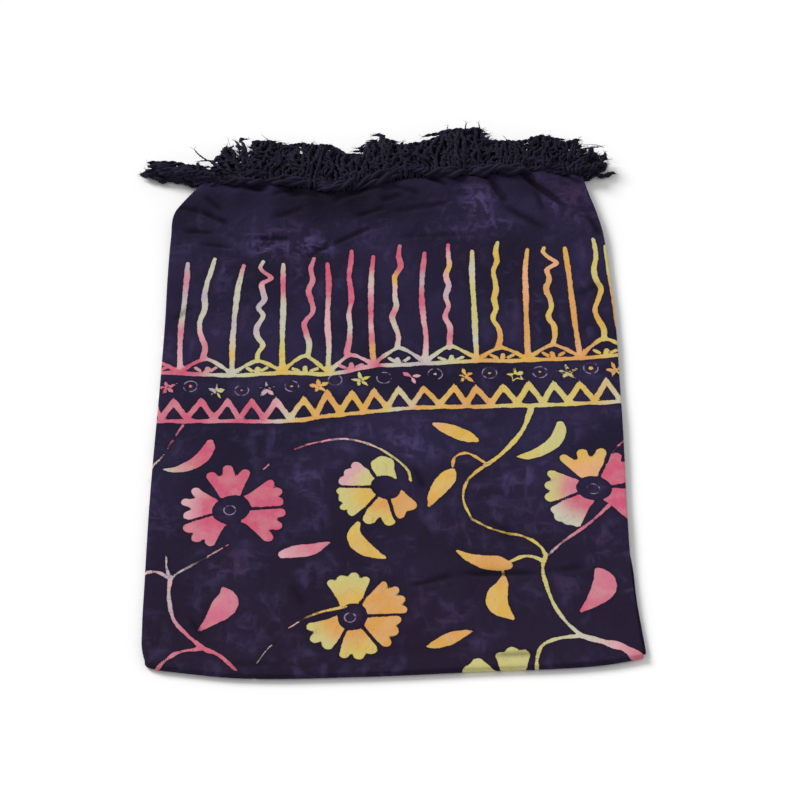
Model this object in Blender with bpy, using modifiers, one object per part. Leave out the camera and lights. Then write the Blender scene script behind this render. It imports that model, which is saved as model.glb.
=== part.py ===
"""A batik sarong with twisted fringe, folded into a flat packet.

One length of cloth is folded in half along its length, which gives the left
edge, and then in half across it, which gives the front edge. Its four layers
lie on each other with all their fringed ends together at the back.
X runs to the right, Y from the front fold to the fringe, Z up. The origin is
on the flat underside, below the middle of the packet. Lengths are in metres.
"""
import math
from collections import namedtuple

import bmesh
import bpy
import numpy as np

NAME = "folded_sarong"

# Driving dimensions
CLOTH_WALL = 0.0010      # the thinnest wall allowed; the real cloth is about 0.3 mm
SEAM_GAP = 0.0003        # between pieces that touch
FOLD_RADIUS = 0.0045     # outer radius of the front fold
NOSE_RADIUS = 0.0019     # outer radius of each layer's turn at the left edge
LIP_LENGTH = 0.0080      # how far a turned layer runs back under itself
LAID_HEIGHT = 0.0086     # height of the four layers in the middle
FRINGE_END_HEIGHT = 0.0135   # height of the top layer where the fringe starts
PEEK = 0.0040            # how far the hidden layers show at the front right
EDGE_SETBACK = 0.0008    # how far they lie behind the top layer's right edge elsewhere
CREASE_ROOM = 0.0022     # below the top layer, for its creases
INNER_START = 2          # columns from the left edge to the hidden layers' solid
PACKET_WIDTH = 0.56      # about, where a width is turned into a share
PACKET_LENGTH = 0.776    # from the front fold to the fringe, along the sides
FRONT_CORNER_Y = -0.400
RAMP_START_Y = 0.160     # where the layers start to thicken towards the fringe
RAMP_LENGTH = 0.200
SWELL_START_Y = -0.330   # where the top layer starts to rise to the front fold
SWELL_LENGTH = 0.060
CREASE_FADE = 0.030      # creases die away this close to a side edge
PEEK_START_Y = -0.200    # the hidden layers show at the right, forward of here
PEEK_LENGTH = 0.120
COLUMNS = 46             # cloth columns from left to right, one strand each
NOSE_STEPS = 4
FOLD_STEPS = 5
UNDER_ROWS = 11
FRINGE_LENGTH = 0.082
STRIP_WIDTH = 0.0026     # the backing strip that holds a row's strands
STRAND_WIDTH = 0.0040
STRAND_HEIGHT = 0.0026
STRAND_STEPS = 24        # straight steps along a strand's curve
TURN_SHARE = 0.45        # share of its length in which a strand turns to its aim
SETTLE_SHARE = 0.20      # share in which it settles to its row's height
SIDE_TRIM = 0.10         # how much shorter a lock's side strands are
STRAND_SWAY = math.radians(9.0)
SWAY_WAVES = 4.0         # half waves of sway across a row
SWAY_SHIFT = 0.003       # height between rows whose sway differs by one radian
STRAND_STATIONS = (0.125, 0.46, 0.79, 1.0)   # shares of a strand's length
STRAND_SIZES = (0.72, 1.0, 0.94, 0.0)        # shares of its thickness there

# The packet's side edges, from the front fold to the fringe
Side = namedtuple("Side", "y left right")
SIDES = (
    Side(-0.400, -0.2800, 0.2850),
    Side(-0.386, -0.2855, 0.2845),
    Side(-0.360, -0.2870, 0.2832),
    Side(-0.285, -0.2870, 0.2812),
    Side(-0.180, -0.2865, 0.2838),
    Side(-0.074, -0.2840, 0.2885),
    Side(0.010, -0.2815, 0.2910),
    Side(0.122, -0.2790, 0.2940),
    Side(0.213, -0.2785, 0.2925),
    Side(0.278, -0.2765, 0.2890),
    Side(0.322, -0.2730, 0.2810),
    Side(0.345, -0.2600, 0.2755),
    Side(0.376, -0.2380, 0.2700),
)

# The front fold's line, with its rounded left corner
Front = namedtuple("Front", "x y")
FRONT = (
    Front(-0.2870, -0.3840),
    Front(-0.2790, -0.3905),
    Front(-0.2670, -0.3955),
    Front(-0.2500, -0.3985),
    Front(-0.1740, -0.4090),
    Front(-0.0400, -0.4105),
    Front(0.0990, -0.4065),
    Front(0.2400, -0.4010),
    Front(0.2900, -0.3920),
)

# The top layer's back edge, where the fringe starts
Back = namedtuple("Back", "x y")
BACK = (
    Back(-0.2400, 0.3735),
    Back(-0.2050, 0.3695),
    Back(-0.1800, 0.3700),
    Back(-0.1200, 0.3610),
    Back(-0.0600, 0.3500),
    Back(0.0000, 0.3660),
    Back(0.0800, 0.3790),
    Back(0.1500, 0.3800),
    Back(0.2000, 0.3860),
    Back(0.2700, 0.3740),
)

# Gathers that run forward from the fringe, each a soft ridge
Gather = namedtuple("Gather", "x width lift reach lean")
GATHERS = (
    Gather(-0.226, 0.014, 0.0020, 0.060, -0.30),
    Gather(-0.184, 0.013, 0.0032, 0.085, -0.22),
    Gather(-0.140, 0.015, 0.0026, 0.070, -0.12),
    Gather(-0.098, 0.013, 0.0038, 0.100, 0.10),
    Gather(-0.052, 0.014, 0.0030, 0.075, 0.26),
    Gather(-0.006, 0.012, 0.0036, 0.090, 0.05),
    Gather(0.036, 0.015, 0.0024, 0.060, -0.10),
    Gather(0.084, 0.013, 0.0034, 0.085, 0.08),
    Gather(0.130, 0.014, 0.0040, 0.095, 0.28),
    Gather(0.176, 0.012, 0.0030, 0.080, 0.50),
    Gather(0.216, 0.014, 0.0034, 0.090, 0.42),
    Gather(0.256, 0.012, 0.0022, 0.060, 0.25),
)

# The largest creases of the top layer, each a soft trough between two ends
Crease = namedtuple("Crease", "x0 y0 x1 y1 depth width")
CREASES = (
    Crease(-0.105, 0.232, -0.045, 0.283, 0.0012, 0.012),
    Crease(-0.165, 0.268, -0.100, 0.284, 0.0011, 0.011),
    Crease(-0.255, 0.326, -0.212, 0.312, 0.0014, 0.011),
    Crease(0.182, 0.376, 0.246, 0.322, 0.0020, 0.012),
    Crease(0.128, 0.376, 0.164, 0.338, 0.0014, 0.011),
    Crease(0.028, -0.284, 0.172, -0.270, 0.0011, 0.012),
    Crease(-0.060, -0.386, 0.110, -0.380, 0.0012, 0.011),
)

# The hidden layers' right edge: shares of their height, and how far in each lies
LAYERED_EDGE = (
    (0.08, 0.0006),
    (0.22, 0.0),
    (0.40, 0.0002),
    (0.50, 0.0026),
    (0.60, 0.0003),
    (0.80, 0.0),
    (0.94, 0.0007),
)

# Rings of the hidden layers: share of the length, and of the full height
INNER_STATIONS = (
    (0.0095, 0.30),
    (0.0125, 0.80),
    (0.0180, 1.0),
    (0.0700, 1.0),
    (0.1600, 1.0),
    (0.2800, 1.0),
    (0.4200, 1.0),
    (0.5600, 1.0),
    (0.7000, 1.0),
    (0.7800, 1.0),
    (0.8500, 1.0),
    (0.9100, 1.0),
    (0.9600, 1.0),
    (1.0000, 1.0),
)

# Locks of strands, from left to right. until is a share of the row's width,
# aim is in degrees to the right of straight back, spread is how far the
# lock's first and last strands lean apart, in degrees. early is how much
# sooner than the others its outermost strand turns, as a share.
Lock = namedtuple("Lock", "until aim spread length lift early")
TOP_LOCKS = (
    Lock(0.150, -61.0, 44.0, 1.36, 0.0020, 0.65),
    Lock(0.270, -20.0, 6.0, 0.94, 0.0055, 0.0),
    Lock(0.400, 2.0, -13.0, 1.00, 0.0065, 0.0),
    Lock(0.530, 12.0, -12.0, 0.92, 0.0045, 0.0),
    Lock(0.650, 6.0, -12.0, 0.90, 0.0050, 0.0),
    Lock(0.770, 14.0, -14.0, 1.22, 0.0080, 0.0),
    Lock(0.880, 28.0, -4.0, 0.88, 0.0050, 0.0),
    Lock(1.000, 56.0, 40.0, 0.80, 0.0030, 0.0),
)
HIGH_LOCKS = (
    Lock(0.130, -58.0, 44.0, 1.26, 0.0, 0.60),
    Lock(0.250, -18.0, 6.0, 1.00, 0.0, 0.0),
    Lock(0.420, -4.0, -13.0, 0.96, 0.0, 0.0),
    Lock(0.560, 8.0, -12.0, 0.98, 0.0, 0.0),
    Lock(0.720, 6.0, -14.0, 1.02, 0.0, 0.0),
    Lock(0.880, 22.0, -4.0, 0.96, 0.0, 0.0),
    Lock(1.000, 50.0, 36.0, 0.84, 0.0, 0.0),
)
LOW_LOCKS = (
    Lock(0.150, -54.0, 46.0, 1.20, 0.0, 0.60),
    Lock(0.300, -12.0, -4.0, 1.00, 0.0, 0.0),
    Lock(0.480, 4.0, -14.0, 1.00, 0.0, 0.0),
    Lock(0.660, 0.0, -12.0, 0.96, 0.0, 0.0),
    Lock(0.840, 15.0, -8.0, 1.04, 0.0, 0.0),
    Lock(1.000, 44.0, 38.0, 0.86, 0.0, 0.0),
)
UNDER_LOCKS = (
    Lock(0.120, -58.0, 38.0, 1.14, 0.0, 0.60),
    Lock(0.270, -18.0, 2.0, 0.98, 0.0, 0.0),
    Lock(0.440, -4.0, -13.0, 1.04, 0.0, 0.0),
    Lock(0.620, 8.0, -13.0, 0.96, 0.0, 0.0),
    Lock(0.800, 4.0, -10.0, 1.02, 0.0, 0.0),
    Lock(0.900, 26.0, 2.0, 0.94, 0.0, 0.0),
    Lock(1.000, 52.0, 32.0, 0.84, 0.0, 0.0),
)

# Rows of fringe. edge is the height of the layer's end, lay is the height at
# which its strands lie, both of the middle of the cloth's thickness.
Row = namedtuple("Row", "node locks edge lay colour")
ROWS = (
    Row("fringe_under", UNDER_LOCKS, 0.0010, 0.0017, (0.017, 0.014, 0.030)),
    Row("fringe_inner_low", LOW_LOCKS, 0.0046, 0.0052, (0.018, 0.015, 0.032)),
    Row("fringe_inner_high", HIGH_LOCKS, 0.0082, 0.0088, (0.019, 0.015, 0.034)),
    Row("fringe_top", TOP_LOCKS, None, 0.0132, (0.021, 0.017, 0.038)),
)


def smooth_step(t):
    """Ease from 0 to 1 as t goes from 0 to 1."""
    t = np.clip(t, 0.0, 1.0)
    return t * t * (3.0 - 2.0 * t)


def table_curve(table, key, value, at):
    """Read a table's column at a place, on a smooth curve through its rows."""
    keys = np.array([getattr(row, key) for row in table])
    values = np.array([getattr(row, value) for row in table])
    steps = np.diff(values) / np.diff(keys)
    slopes = np.concatenate(([steps[0]], (steps[1:] + steps[:-1]) / 2, [steps[-1]]))
    at = np.clip(at, keys[0], keys[-1])
    i = np.clip(np.searchsorted(keys, at) - 1, 0, len(keys) - 2)
    span = keys[i + 1] - keys[i]
    t = (at - keys[i]) / span
    rise = t * t * (3.0 - 2.0 * t)
    bend_in = t * (1.0 - t) ** 2 * span * slopes[i]
    bend_out = t * t * (1.0 - t) * span * slopes[i + 1]
    return values[i] * (1.0 - rise) + values[i + 1] * rise + bend_in - bend_out


def packet_point(across, along):
    """Plan position of a point of a layer: shares of its width and length."""
    y_guess = FRONT_CORNER_Y + along * PACKET_LENGTH
    left = table_curve(SIDES, "y", "left", y_guess)
    right = table_curve(SIDES, "y", "right", y_guess)
    x = left + across * (right - left)
    front = table_curve(FRONT, "x", "y", x)
    back = table_curve(BACK, "x", "y", x)
    return x, front + along * (back - front)


def laid_height(x, y):
    """Height of the top layer without its gathers and creases."""
    to_fringe = smooth_step((y - RAMP_START_Y) / RAMP_LENGTH)
    to_fold = smooth_step((SWELL_START_Y - y) / SWELL_LENGTH)
    height = LAID_HEIGHT + to_fringe * (FRINGE_END_HEIGHT - LAID_HEIGHT)
    return height + to_fold * (2.0 * FOLD_RADIUS - LAID_HEIGHT)


def gather_lift(x, y):
    """Rise of the ridges that fan forward from the fringe."""
    lift = 0.0
    for gather in GATHERS:
        back = table_curve(BACK, "x", "y", np.asarray(gather.x))
        forward = np.maximum(back - y, 0.0)
        off = (x - gather.x - gather.lean * forward) / gather.width
        fade = 1.0 - smooth_step(forward / gather.reach)
        lift = lift + gather.lift * fade * np.exp(-off * off)
    return lift


def crease_drop(x, y):
    """Depth of the soft troughs of the top layer."""
    drop = 0.0
    for crease in CREASES:
        run_x = crease.x1 - crease.x0
        run_y = crease.y1 - crease.y0
        length = math.hypot(run_x, run_y)
        t = ((x - crease.x0) * run_x + (y - crease.y0) * run_y) / length ** 2
        side = ((x - crease.x0) * run_y - (y - crease.y0) * run_x) / length
        ends = smooth_step(t / 0.3) * smooth_step((1.0 - t) / 0.3)
        drop = drop + crease.depth * ends * np.exp(-(side / crease.width) ** 2)
    return drop


def top_height(x, y):
    """Height of the top layer's outer face."""
    left = table_curve(SIDES, "y", "left", y)
    right = table_curve(SIDES, "y", "right", y)
    inside = smooth_step((x - left) / CREASE_FADE) * smooth_step((right - x) / CREASE_FADE)
    return laid_height(x, y) + gather_lift(x, y) - crease_drop(x, y) * inside


def length_stations():
    """Shares of the packet's length, close together where the cloth is shaped."""
    front = np.linspace(0.0, 0.06, 4)[:-1]
    middle = np.linspace(0.06, 0.74, 12)[:-1]
    gathered = np.linspace(0.74, 1.0, 14)
    return np.concatenate((front, middle, gathered))


def column_shares():
    """Shares of the width at which the cloth's columns stand."""
    return np.linspace(NOSE_RADIUS / PACKET_WIDTH, 1.0, COLUMNS + 1)


def sheet_path(across, depth=0.0, inward=0.0):
    """One column of the outer layer: over the top, round the fold and back below.

    depth is how far the column lies inside the packet's outer face, and inward
    is how far it is moved to the right, which together make the turned edge.
    """
    stations = length_stations()[::-1]
    x, y = packet_point(across, stations)
    centre = y[-1] + FOLD_RADIUS
    y = np.maximum(y, centre)
    z = top_height(x, y)
    path = [(px + inward, py, pz - depth) for px, py, pz in zip(x, y, z)]
    for i in range(1, FOLD_STEPS):
        turn = math.pi * i / FOLD_STEPS
        radius = FOLD_RADIUS - depth
        point_y = centre - radius * math.sin(turn)
        point_z = FOLD_RADIUS + radius * math.cos(turn)
        path.append((x[-1] + inward, point_y, point_z))
    for share in np.linspace(0.0, 1.0, UNDER_ROWS):
        px, py = packet_point(across, share)
        path.append((px + inward, max(py, centre), depth))
    return path


def sheet_columns():
    """All columns of the outer layer, from the lip at the left to the right edge."""
    columns = [sheet_path(0.0, 2.0 * NOSE_RADIUS, LIP_LENGTH)]
    for i in range(NOSE_STEPS):
        angle = math.pi * i / NOSE_STEPS
        inward = NOSE_RADIUS * (1.0 - math.sin(angle))
        depth = NOSE_RADIUS * (1.0 + math.cos(angle))
        columns.append(sheet_path(0.0, depth, inward))
    for across in column_shares():
        columns.append(sheet_path(across))
    return columns


def new_material(name, colour, roughness):
    material = bpy.data.materials.new(name)
    material.use_nodes = True
    shader = material.node_tree.nodes["Principled BSDF"]
    shader.inputs["Base Color"].default_value = (*colour, 1.0)
    shader.inputs["Roughness"].default_value = roughness
    shader.inputs["Metallic"].default_value = 0.0
    return material


def new_object(name, mesh_builder, material, collection):
    mesh = bpy.data.meshes.new(name)
    mesh_builder.normal_update()
    mesh_builder.to_mesh(mesh)
    mesh_builder.free()
    mesh.shade_smooth()
    mesh.set_sharp_from_angle(angle=math.radians(50.0))
    mesh.materials.append(material)
    thing = bpy.data.objects.new(name, mesh)
    collection.objects.link(thing)
    return thing


def grid_faces(builder, columns):
    """A sheet of quads through columns of points."""
    rows = [[builder.verts.new(point) for point in column] for column in columns]
    for left, right in zip(rows, rows[1:]):
        for i in range(len(left) - 1):
            builder.faces.new((left[i], left[i + 1], right[i + 1], right[i]))
    return rows


def make_outer_cloth(collection):
    """The cloth that shows: top layer, front fold and under layer, one wall."""
    builder = bmesh.new()
    grid_faces(builder, sheet_columns())
    material = new_material("batik_cloth", (0.030, 0.020, 0.055), 0.82)
    cloth = new_object("cloth_outer", builder, material, collection)
    wall = cloth.modifiers.new("wall", "SOLIDIFY")
    wall.thickness = CLOTH_WALL
    wall.offset = -1.0
    wall.use_even_offset = False
    return cloth


def inner_ring(along, squeeze):
    """One ring round the hidden layers, with the groove between them at the right."""
    shares = column_shares()[INNER_START:]
    x, y = packet_point(shares, np.full_like(shares, along))
    floor = CLOTH_WALL + SEAM_GAP
    ceiling = laid_height(x, y) - CLOTH_WALL - CREASE_ROOM
    middle = (floor + ceiling) / 2.0
    low = middle + (floor - middle) * squeeze
    high = middle + (ceiling - middle) * squeeze
    peek = PEEK * smooth_step((PEEK_START_Y - y[-1]) / PEEK_LENGTH) - EDGE_SETBACK
    edge = x[-1] + peek
    ring = list(zip(x, y, low))
    for share, inset in LAYERED_EDGE:
        ring.append((edge - inset, y[-1], low[-1] + share * (high[-1] - low[-1])))
    ring += list(zip(x, y, high))[::-1]
    return ring


def make_inner_cloth(collection):
    """The two hidden layers: one rounded solid between the top and under layers."""
    builder = bmesh.new()
    rings = []
    for along, squeeze in INNER_STATIONS:
        rings.append([builder.verts.new(point) for point in inner_ring(along, squeeze)])
    count = len(rings[0])
    for near, far in zip(rings, rings[1:]):
        for i in range(count):
            j = (i + 1) % count
            builder.faces.new((near[i], near[j], far[j], far[i]))
    for ring in (rings[0], rings[-1]):
        spans = COLUMNS - INNER_START
        for i in range(spans):
            builder.faces.new((ring[i], ring[i + 1], ring[count - 2 - i], ring[count - 1 - i]))
        builder.faces.new(ring[spans:count - spans])
    bmesh.ops.recalc_face_normals(builder, faces=builder.faces)
    material = new_material("batik_cloth_inner", (0.026, 0.018, 0.048), 0.85)
    return new_object("cloth_inner", builder, material, collection)


def lock_of(share, locks):
    """The lock that a strand belongs to, and its place in it from -0.5 to 0.5."""
    start = 0.0
    for lock in locks:
        if share <= lock.until:
            return lock, (share - start) / (lock.until - start) - 0.5
        start = lock.until
    return locks[-1], 0.5


def strand_path(root, share, row):
    """Points down the middle of a strand, each with the strand's heading there."""
    lock, place = lock_of(share, row.locks)
    aim = math.radians(lock.aim + place * lock.spread)
    length = FRINGE_LENGTH * lock.length * (1.0 - SIDE_TRIM * (2.0 * place) ** 2)
    phase = SWAY_WAVES * share * math.pi + row.lay / SWAY_SHIFT
    sway = STRAND_SWAY * math.cos(aim) ** 2 * math.sin(phase)
    outer = 0.5 + math.copysign(place, aim * place)
    turn = TURN_SHARE * (1.0 - lock.early * outer)
    x, y, z = root
    path = []
    for i in range(STRAND_STEPS + 1):
        s = i / STRAND_STEPS
        heading = aim * smooth_step(s / turn) + sway * math.sin(2.0 * math.pi * s)
        settle = (row.lay - z) * smooth_step(s / SETTLE_SHARE)
        arch = lock.lift * math.sin(math.pi * s ** 0.75)
        path.append((x, y, z + settle + arch, heading))
        x += math.sin(heading) * length / STRAND_STEPS
        y += math.cos(heading) * length / STRAND_STEPS
    return [path[round(s * STRAND_STEPS)] for s in STRAND_STATIONS]


def strand_rings(path):
    """Four-sided rings round a strand's path, and its tip."""
    rings = []
    for (x, y, z, heading), size in zip(path, STRAND_SIZES):
        if size == 0.0:
            rings.append([(x, y, z)])
            continue
        half_width = STRAND_WIDTH * size / 2.0
        half_height = STRAND_HEIGHT * size / 2.0
        side_x = math.cos(heading) * half_width
        side_y = -math.sin(heading) * half_width
        rings.append([
            (x - side_x, y - side_y, z - half_height),
            (x + side_x, y + side_y, z - half_height),
            (x + side_x, y + side_y, z + half_height),
            (x - side_x, y - side_y, z + half_height),
        ])
    return rings


def edge_points(row):
    """The line of a layer's back edge, at the middle of the cloth."""
    shares = column_shares()
    x, y = packet_point(shares, np.ones_like(shares))
    if row.edge is None:
        z = top_height(x, y) - CLOTH_WALL / 2.0
    else:
        z = np.full_like(x, row.edge)
    return x, y, z


def make_fringe(row, collection):
    """A narrow strip parted from a layer's edge, and the strands that grow from it."""
    x, y, z = edge_points(row)
    front = y + SEAM_GAP
    back = front + STRIP_WIDTH
    half = CLOTH_WALL / 2.0
    builder = bmesh.new()
    loops = []
    for px, fy, by, pz in zip(x, front, back, z):
        low = pz - half
        high = pz + half
        corners = ((px, fy, low), (px, by, low), (px, by, high), (px, fy, high))
        loops.append([builder.verts.new(corner) for corner in corners])
    for index, (left, right) in enumerate(zip(loops, loops[1:])):
        for a, b in ((0, 1), (2, 3), (3, 0)):
            builder.faces.new((left[a], left[b], right[b], right[a]))
        root = (
            (x[index] + x[index + 1]) / 2.0,
            (back[index] + back[index + 1]) / 2.0,
            (z[index] + z[index + 1]) / 2.0,
        )
        share = (index + 0.5) / COLUMNS
        rings = [[left[1], right[1], right[2], left[2]]]
        for ring in strand_rings(strand_path(root, share, row)):
            rings.append([builder.verts.new(point) for point in ring])
        for near, far in zip(rings, rings[1:]):
            for i in range(4):
                j = (i + 1) % 4
                if len(far) == 1:
                    builder.faces.new((near[i], near[j], far[0]))
                else:
                    builder.faces.new((near[i], near[j], far[j], far[i]))
    builder.faces.new(loops[0])
    builder.faces.new(loops[-1][::-1])
    bmesh.ops.recalc_face_normals(builder, faces=builder.faces)
    material = new_material(row.node + "_yarn", row.colour, 0.9)
    return new_object(row.node, builder, material, collection)


def main():
    for old in list(bpy.data.objects):
        bpy.data.objects.remove(old)
    collection = bpy.data.collections.new(NAME)
    bpy.context.scene.collection.children.link(collection)
    make_outer_cloth(collection)
    make_inner_cloth(collection)
    for row in ROWS:
        make_fringe(row, collection)


main()
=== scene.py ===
import math
from collections import namedtuple
from functools import partialmethod

import bpy
import numpy as np
from mathutils import Euler, Matrix, Vector


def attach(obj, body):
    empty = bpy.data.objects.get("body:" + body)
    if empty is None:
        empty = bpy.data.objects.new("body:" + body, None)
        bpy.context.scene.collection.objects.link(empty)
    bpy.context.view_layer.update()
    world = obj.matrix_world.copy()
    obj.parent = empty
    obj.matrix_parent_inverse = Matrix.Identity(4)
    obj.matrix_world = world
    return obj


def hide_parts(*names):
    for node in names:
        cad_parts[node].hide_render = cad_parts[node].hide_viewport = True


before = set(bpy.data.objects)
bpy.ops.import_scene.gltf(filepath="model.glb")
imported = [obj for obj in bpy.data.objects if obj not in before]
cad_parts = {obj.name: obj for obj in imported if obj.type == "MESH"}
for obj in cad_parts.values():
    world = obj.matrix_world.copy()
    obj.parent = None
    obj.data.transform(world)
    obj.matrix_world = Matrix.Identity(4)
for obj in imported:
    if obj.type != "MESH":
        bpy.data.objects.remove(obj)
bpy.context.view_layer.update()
BODY = "root"

# The folded packet, in metres, as the solids have it
FOLD_RADIUS = 0.0045
NOSE_RADIUS = 0.0019
LIP_LENGTH = 0.0080
LAID_HEIGHT = 0.0086
FRINGE_END_HEIGHT = 0.0135
PEEK = 0.0040
EDGE_SETBACK = 0.0008
PACKET_WIDTH = 0.56
PACKET_LENGTH = 0.776
FRONT_CORNER_Y = -0.400
RAMP_START_Y = 0.160
RAMP_LENGTH = 0.200
SWELL_START_Y = -0.330
SWELL_LENGTH = 0.060
CREASE_FADE = 0.030
PEEK_START_Y = -0.200
PEEK_LENGTH = 0.120
FRINGE_LENGTH = 0.082
SETTLE_SHARE = 0.20

# What the looks add to it, in metres
EDGE_RADIUS = 0.0004     # of a free edge's rounded return
HEM_LENGTH = 0.0030
UNDER_LIFT = 0.0003      # the underside's unevenness
WAVE_HEIGHT = 0.00045    # the top layer's low waves
RELIEF_FADE = 0.025      # they die away this close to the front fold
CLOTH_COLUMNS = 208
TOP_ROWS = 284
UNDER_ROWS = 142
FOLD_STEPS = 9
NOSE_STEPS = 7
HEM_STEPS = 4
MM = 0.001


def table(columns, rows, in_mm=0):
    """Rows with named columns. The first ones may be in mm and become metres."""
    kind = namedtuple("Row", columns)
    return [kind(*[cell * MM for cell in row[:in_mm]], *row[in_mm:]) for row in rows]


# The packet's side edges, from the front fold to the fringe
SIDES = table("y left right", (
    (-400, -280, 285), (-386, -285.5, 284.5), (-360, -287, 283.2), (-285, -287, 281.2),
    (-180, -286.5, 283.8), (-74, -284, 288.5), (10, -281.5, 291), (122, -279, 294), (213, -278.5, 292.5),
    (278, -276.5, 289), (322, -273, 281), (345, -260, 275.5), (376, -238, 270),
), 3)

# The front fold's line, with its rounded left corner
FRONT = table("x y", (
    (-287, -384), (-279, -390.5), (-267, -395.5), (-250, -398.5), (-174, -409), (-40, -410.5),
    (99, -406.5), (240, -401), (290, -392),
), 2)

# The top layer's back edge, where the fringe starts
BACK = table("x y", (
    (-240, 373.5), (-205, 369.5), (-180, 370), (-120, 361), (-60, 350), (0, 366), (80, 379), (150, 380),
    (200, 386), (270, 374),
), 2)

# Gathers that run forward from the fringe, each a soft ridge
GATHERS = table("x width lift reach lean", (
    (-226, 14, 2, 60, -0.3), (-184, 13, 3.2, 85, -0.22), (-140, 15, 2.6, 70, -0.12),
    (-98, 13, 3.8, 100, 0.1), (-52, 14, 3, 75, 0.26), (-6, 12, 3.6, 90, 0.05), (36, 15, 2.4, 60, -0.1),
    (84, 13, 3.4, 85, 0.08), (130, 14, 4, 95, 0.28), (176, 12, 3, 80, 0.5), (216, 14, 3.4, 90, 0.42),
    (256, 12, 2.2, 60, 0.25),
), 4)

# The solids' creases, then the finer ones. Each is a trough between two ends.
CREASES = table("x0 y0 x1 y1 depth width", (
    (-105, 232, -45, 283, 1.2, 12), (-165, 268, -100, 284, 1.1, 11), (-255, 326, -212, 312, 1.4, 11),
    (182, 376, 246, 322, 2, 12), (128, 376, 164, 338, 1.4, 11), (28, -284, 172, -270, 1.1, 12),
    (-60, -386, 110, -380, 1.2, 11),
), 6)
FINE_CREASES = table("x0 y0 x1 y1 depth width", (
    (-274, 330, -236, 322, 1.6, 4), (-242, 326, -198, 296, 2.6, 4), (-238, 352, -206, 320, 1.4, 4),
    (-204, 366, -150, 358, 2.4, 5), (-130, 352, -76, 345, 2.2, 5), (-70, 332, -14, 360, 2.2, 5),
    (-104, 234, -66, 262, 1.8, 4), (-72, 256, -4, 294, 2, 4), (-170, 272, -112, 272, 2, 4),
    (-150, 346, -108, 364, 1.4, 4), (-266, 288, -214, 282, 1.6, 4), (-150, 306, -92, 328, 1.4, 5),
    (-240, 264, -190, 256, 1.2, 4), (-40, 306, 12, 324, 1.6, 4), (182, 388, 250, 314, 3.4, 4),
    (112, 384, 150, 370, 2.2, 4), (146, 374, 168, 326, 2.6, 5), (60, 380, 92, 358, 2, 4),
    (12, 364, 58, 346, 1.4, 5), (-4, 334, 34, 348, 1.6, 5), (236, 384, 270, 358, 2.2, 4),
    (268, 314, 288, 262, 1.6, 4), (2, 314, 104, 333, 1.2, 5), (-4, 270, 156, 276, 0.8, 4),
    (154, 330, 224, 274, 1.4, 6), (206, 352, 216, 306, 1.2, 4), (16, -290, 80, -272, 1.4, 4),
    (70, -272, 184, -273, 1.5, 4), (176, -272, 244, -262, 1, 5), (-236, -322, -212, -362, 1, 4),
    (-120, -280, -96, -318, 0.8, 5), (108, -388, 176, -386, 1, 4), (-196, -392, -120, -395, 1, 4),
    (30, -108, 46, -150, 1.2, 5), (118, -190, 150, -226, 1, 5), (-272, 130, -240, 160, 1, 5),
    (242, 160, 284, 186, 1, 5),
), 6)
FOLD_SHADE = 0.0014          # a trough this deep gets the full painted shade

# Low waves of the top layer: wavelengths in metres across and along, a shift in
# radians, and a share of the height
WAVES = table("across along shift share", (
    (0.118, 0.21, 0.4, 1), (-0.079, 0.131, 1.9, 0.7), (0.053, -0.097, 3.1, 0.5),
    (0.041, 0.036, 5.2, 0.25), (-0.029, 0.047, 2.2, 0.2),
))


def smooth_step(t):
    """Ease from 0 to 1 as t goes from 0 to 1."""
    t = np.clip(t, 0.0, 1.0)
    return t * t * (3.0 - 2.0 * t)


def table_curve(table, key, value, at):
    """Read a table's column at a place, on a smooth curve through its rows."""
    keys = np.array([getattr(row, key) for row in table])
    values = np.array([getattr(row, value) for row in table])
    steps = np.diff(values) / np.diff(keys)
    slopes = np.concatenate(([steps[0]], (steps[1:] + steps[:-1]) / 2, [steps[-1]]))
    at = np.clip(at, keys[0], keys[-1])
    i = np.clip(np.searchsorted(keys, at) - 1, 0, len(keys) - 2)
    span = keys[i + 1] - keys[i]
    t = (at - keys[i]) / span
    rise = t * t * (3.0 - 2.0 * t)
    bend_in = t * (1.0 - t) ** 2 * span * slopes[i]
    bend_out = t * t * (1.0 - t) * span * slopes[i + 1]
    return values[i] * (1.0 - rise) + values[i + 1] * rise + bend_in - bend_out


def packet_point(across, along):
    """Plan position of a point of a layer: shares of its width and length."""
    y_guess = FRONT_CORNER_Y + along * PACKET_LENGTH
    left = table_curve(SIDES, "y", "left", y_guess)
    right = table_curve(SIDES, "y", "right", y_guess)
    x = left + across * (right - left)
    front = table_curve(FRONT, "x", "y", x)
    back = table_curve(BACK, "x", "y", x)
    return x, front + along * (back - front)


def laid_height(y):
    """Height of the top layer without its gathers and creases."""
    to_fringe = smooth_step((y - RAMP_START_Y) / RAMP_LENGTH)
    to_fold = smooth_step((SWELL_START_Y - y) / SWELL_LENGTH)
    height = LAID_HEIGHT + to_fringe * (FRINGE_END_HEIGHT - LAID_HEIGHT)
    return height + to_fold * (2.0 * FOLD_RADIUS - LAID_HEIGHT)


def gather_lift(x, y):
    """Rise of the ridges that fan forward from the fringe."""
    lift = 0.0
    for gather in GATHERS:
        back = table_curve(BACK, "x", "y", np.asarray(gather.x))
        forward = np.maximum(back - y, 0.0)
        off = (x - gather.x - gather.lean * forward) / gather.width
        fade = 1.0 - smooth_step(forward / gather.reach)
        lift = lift + gather.lift * fade * np.exp(-off * off)
    return lift


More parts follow.
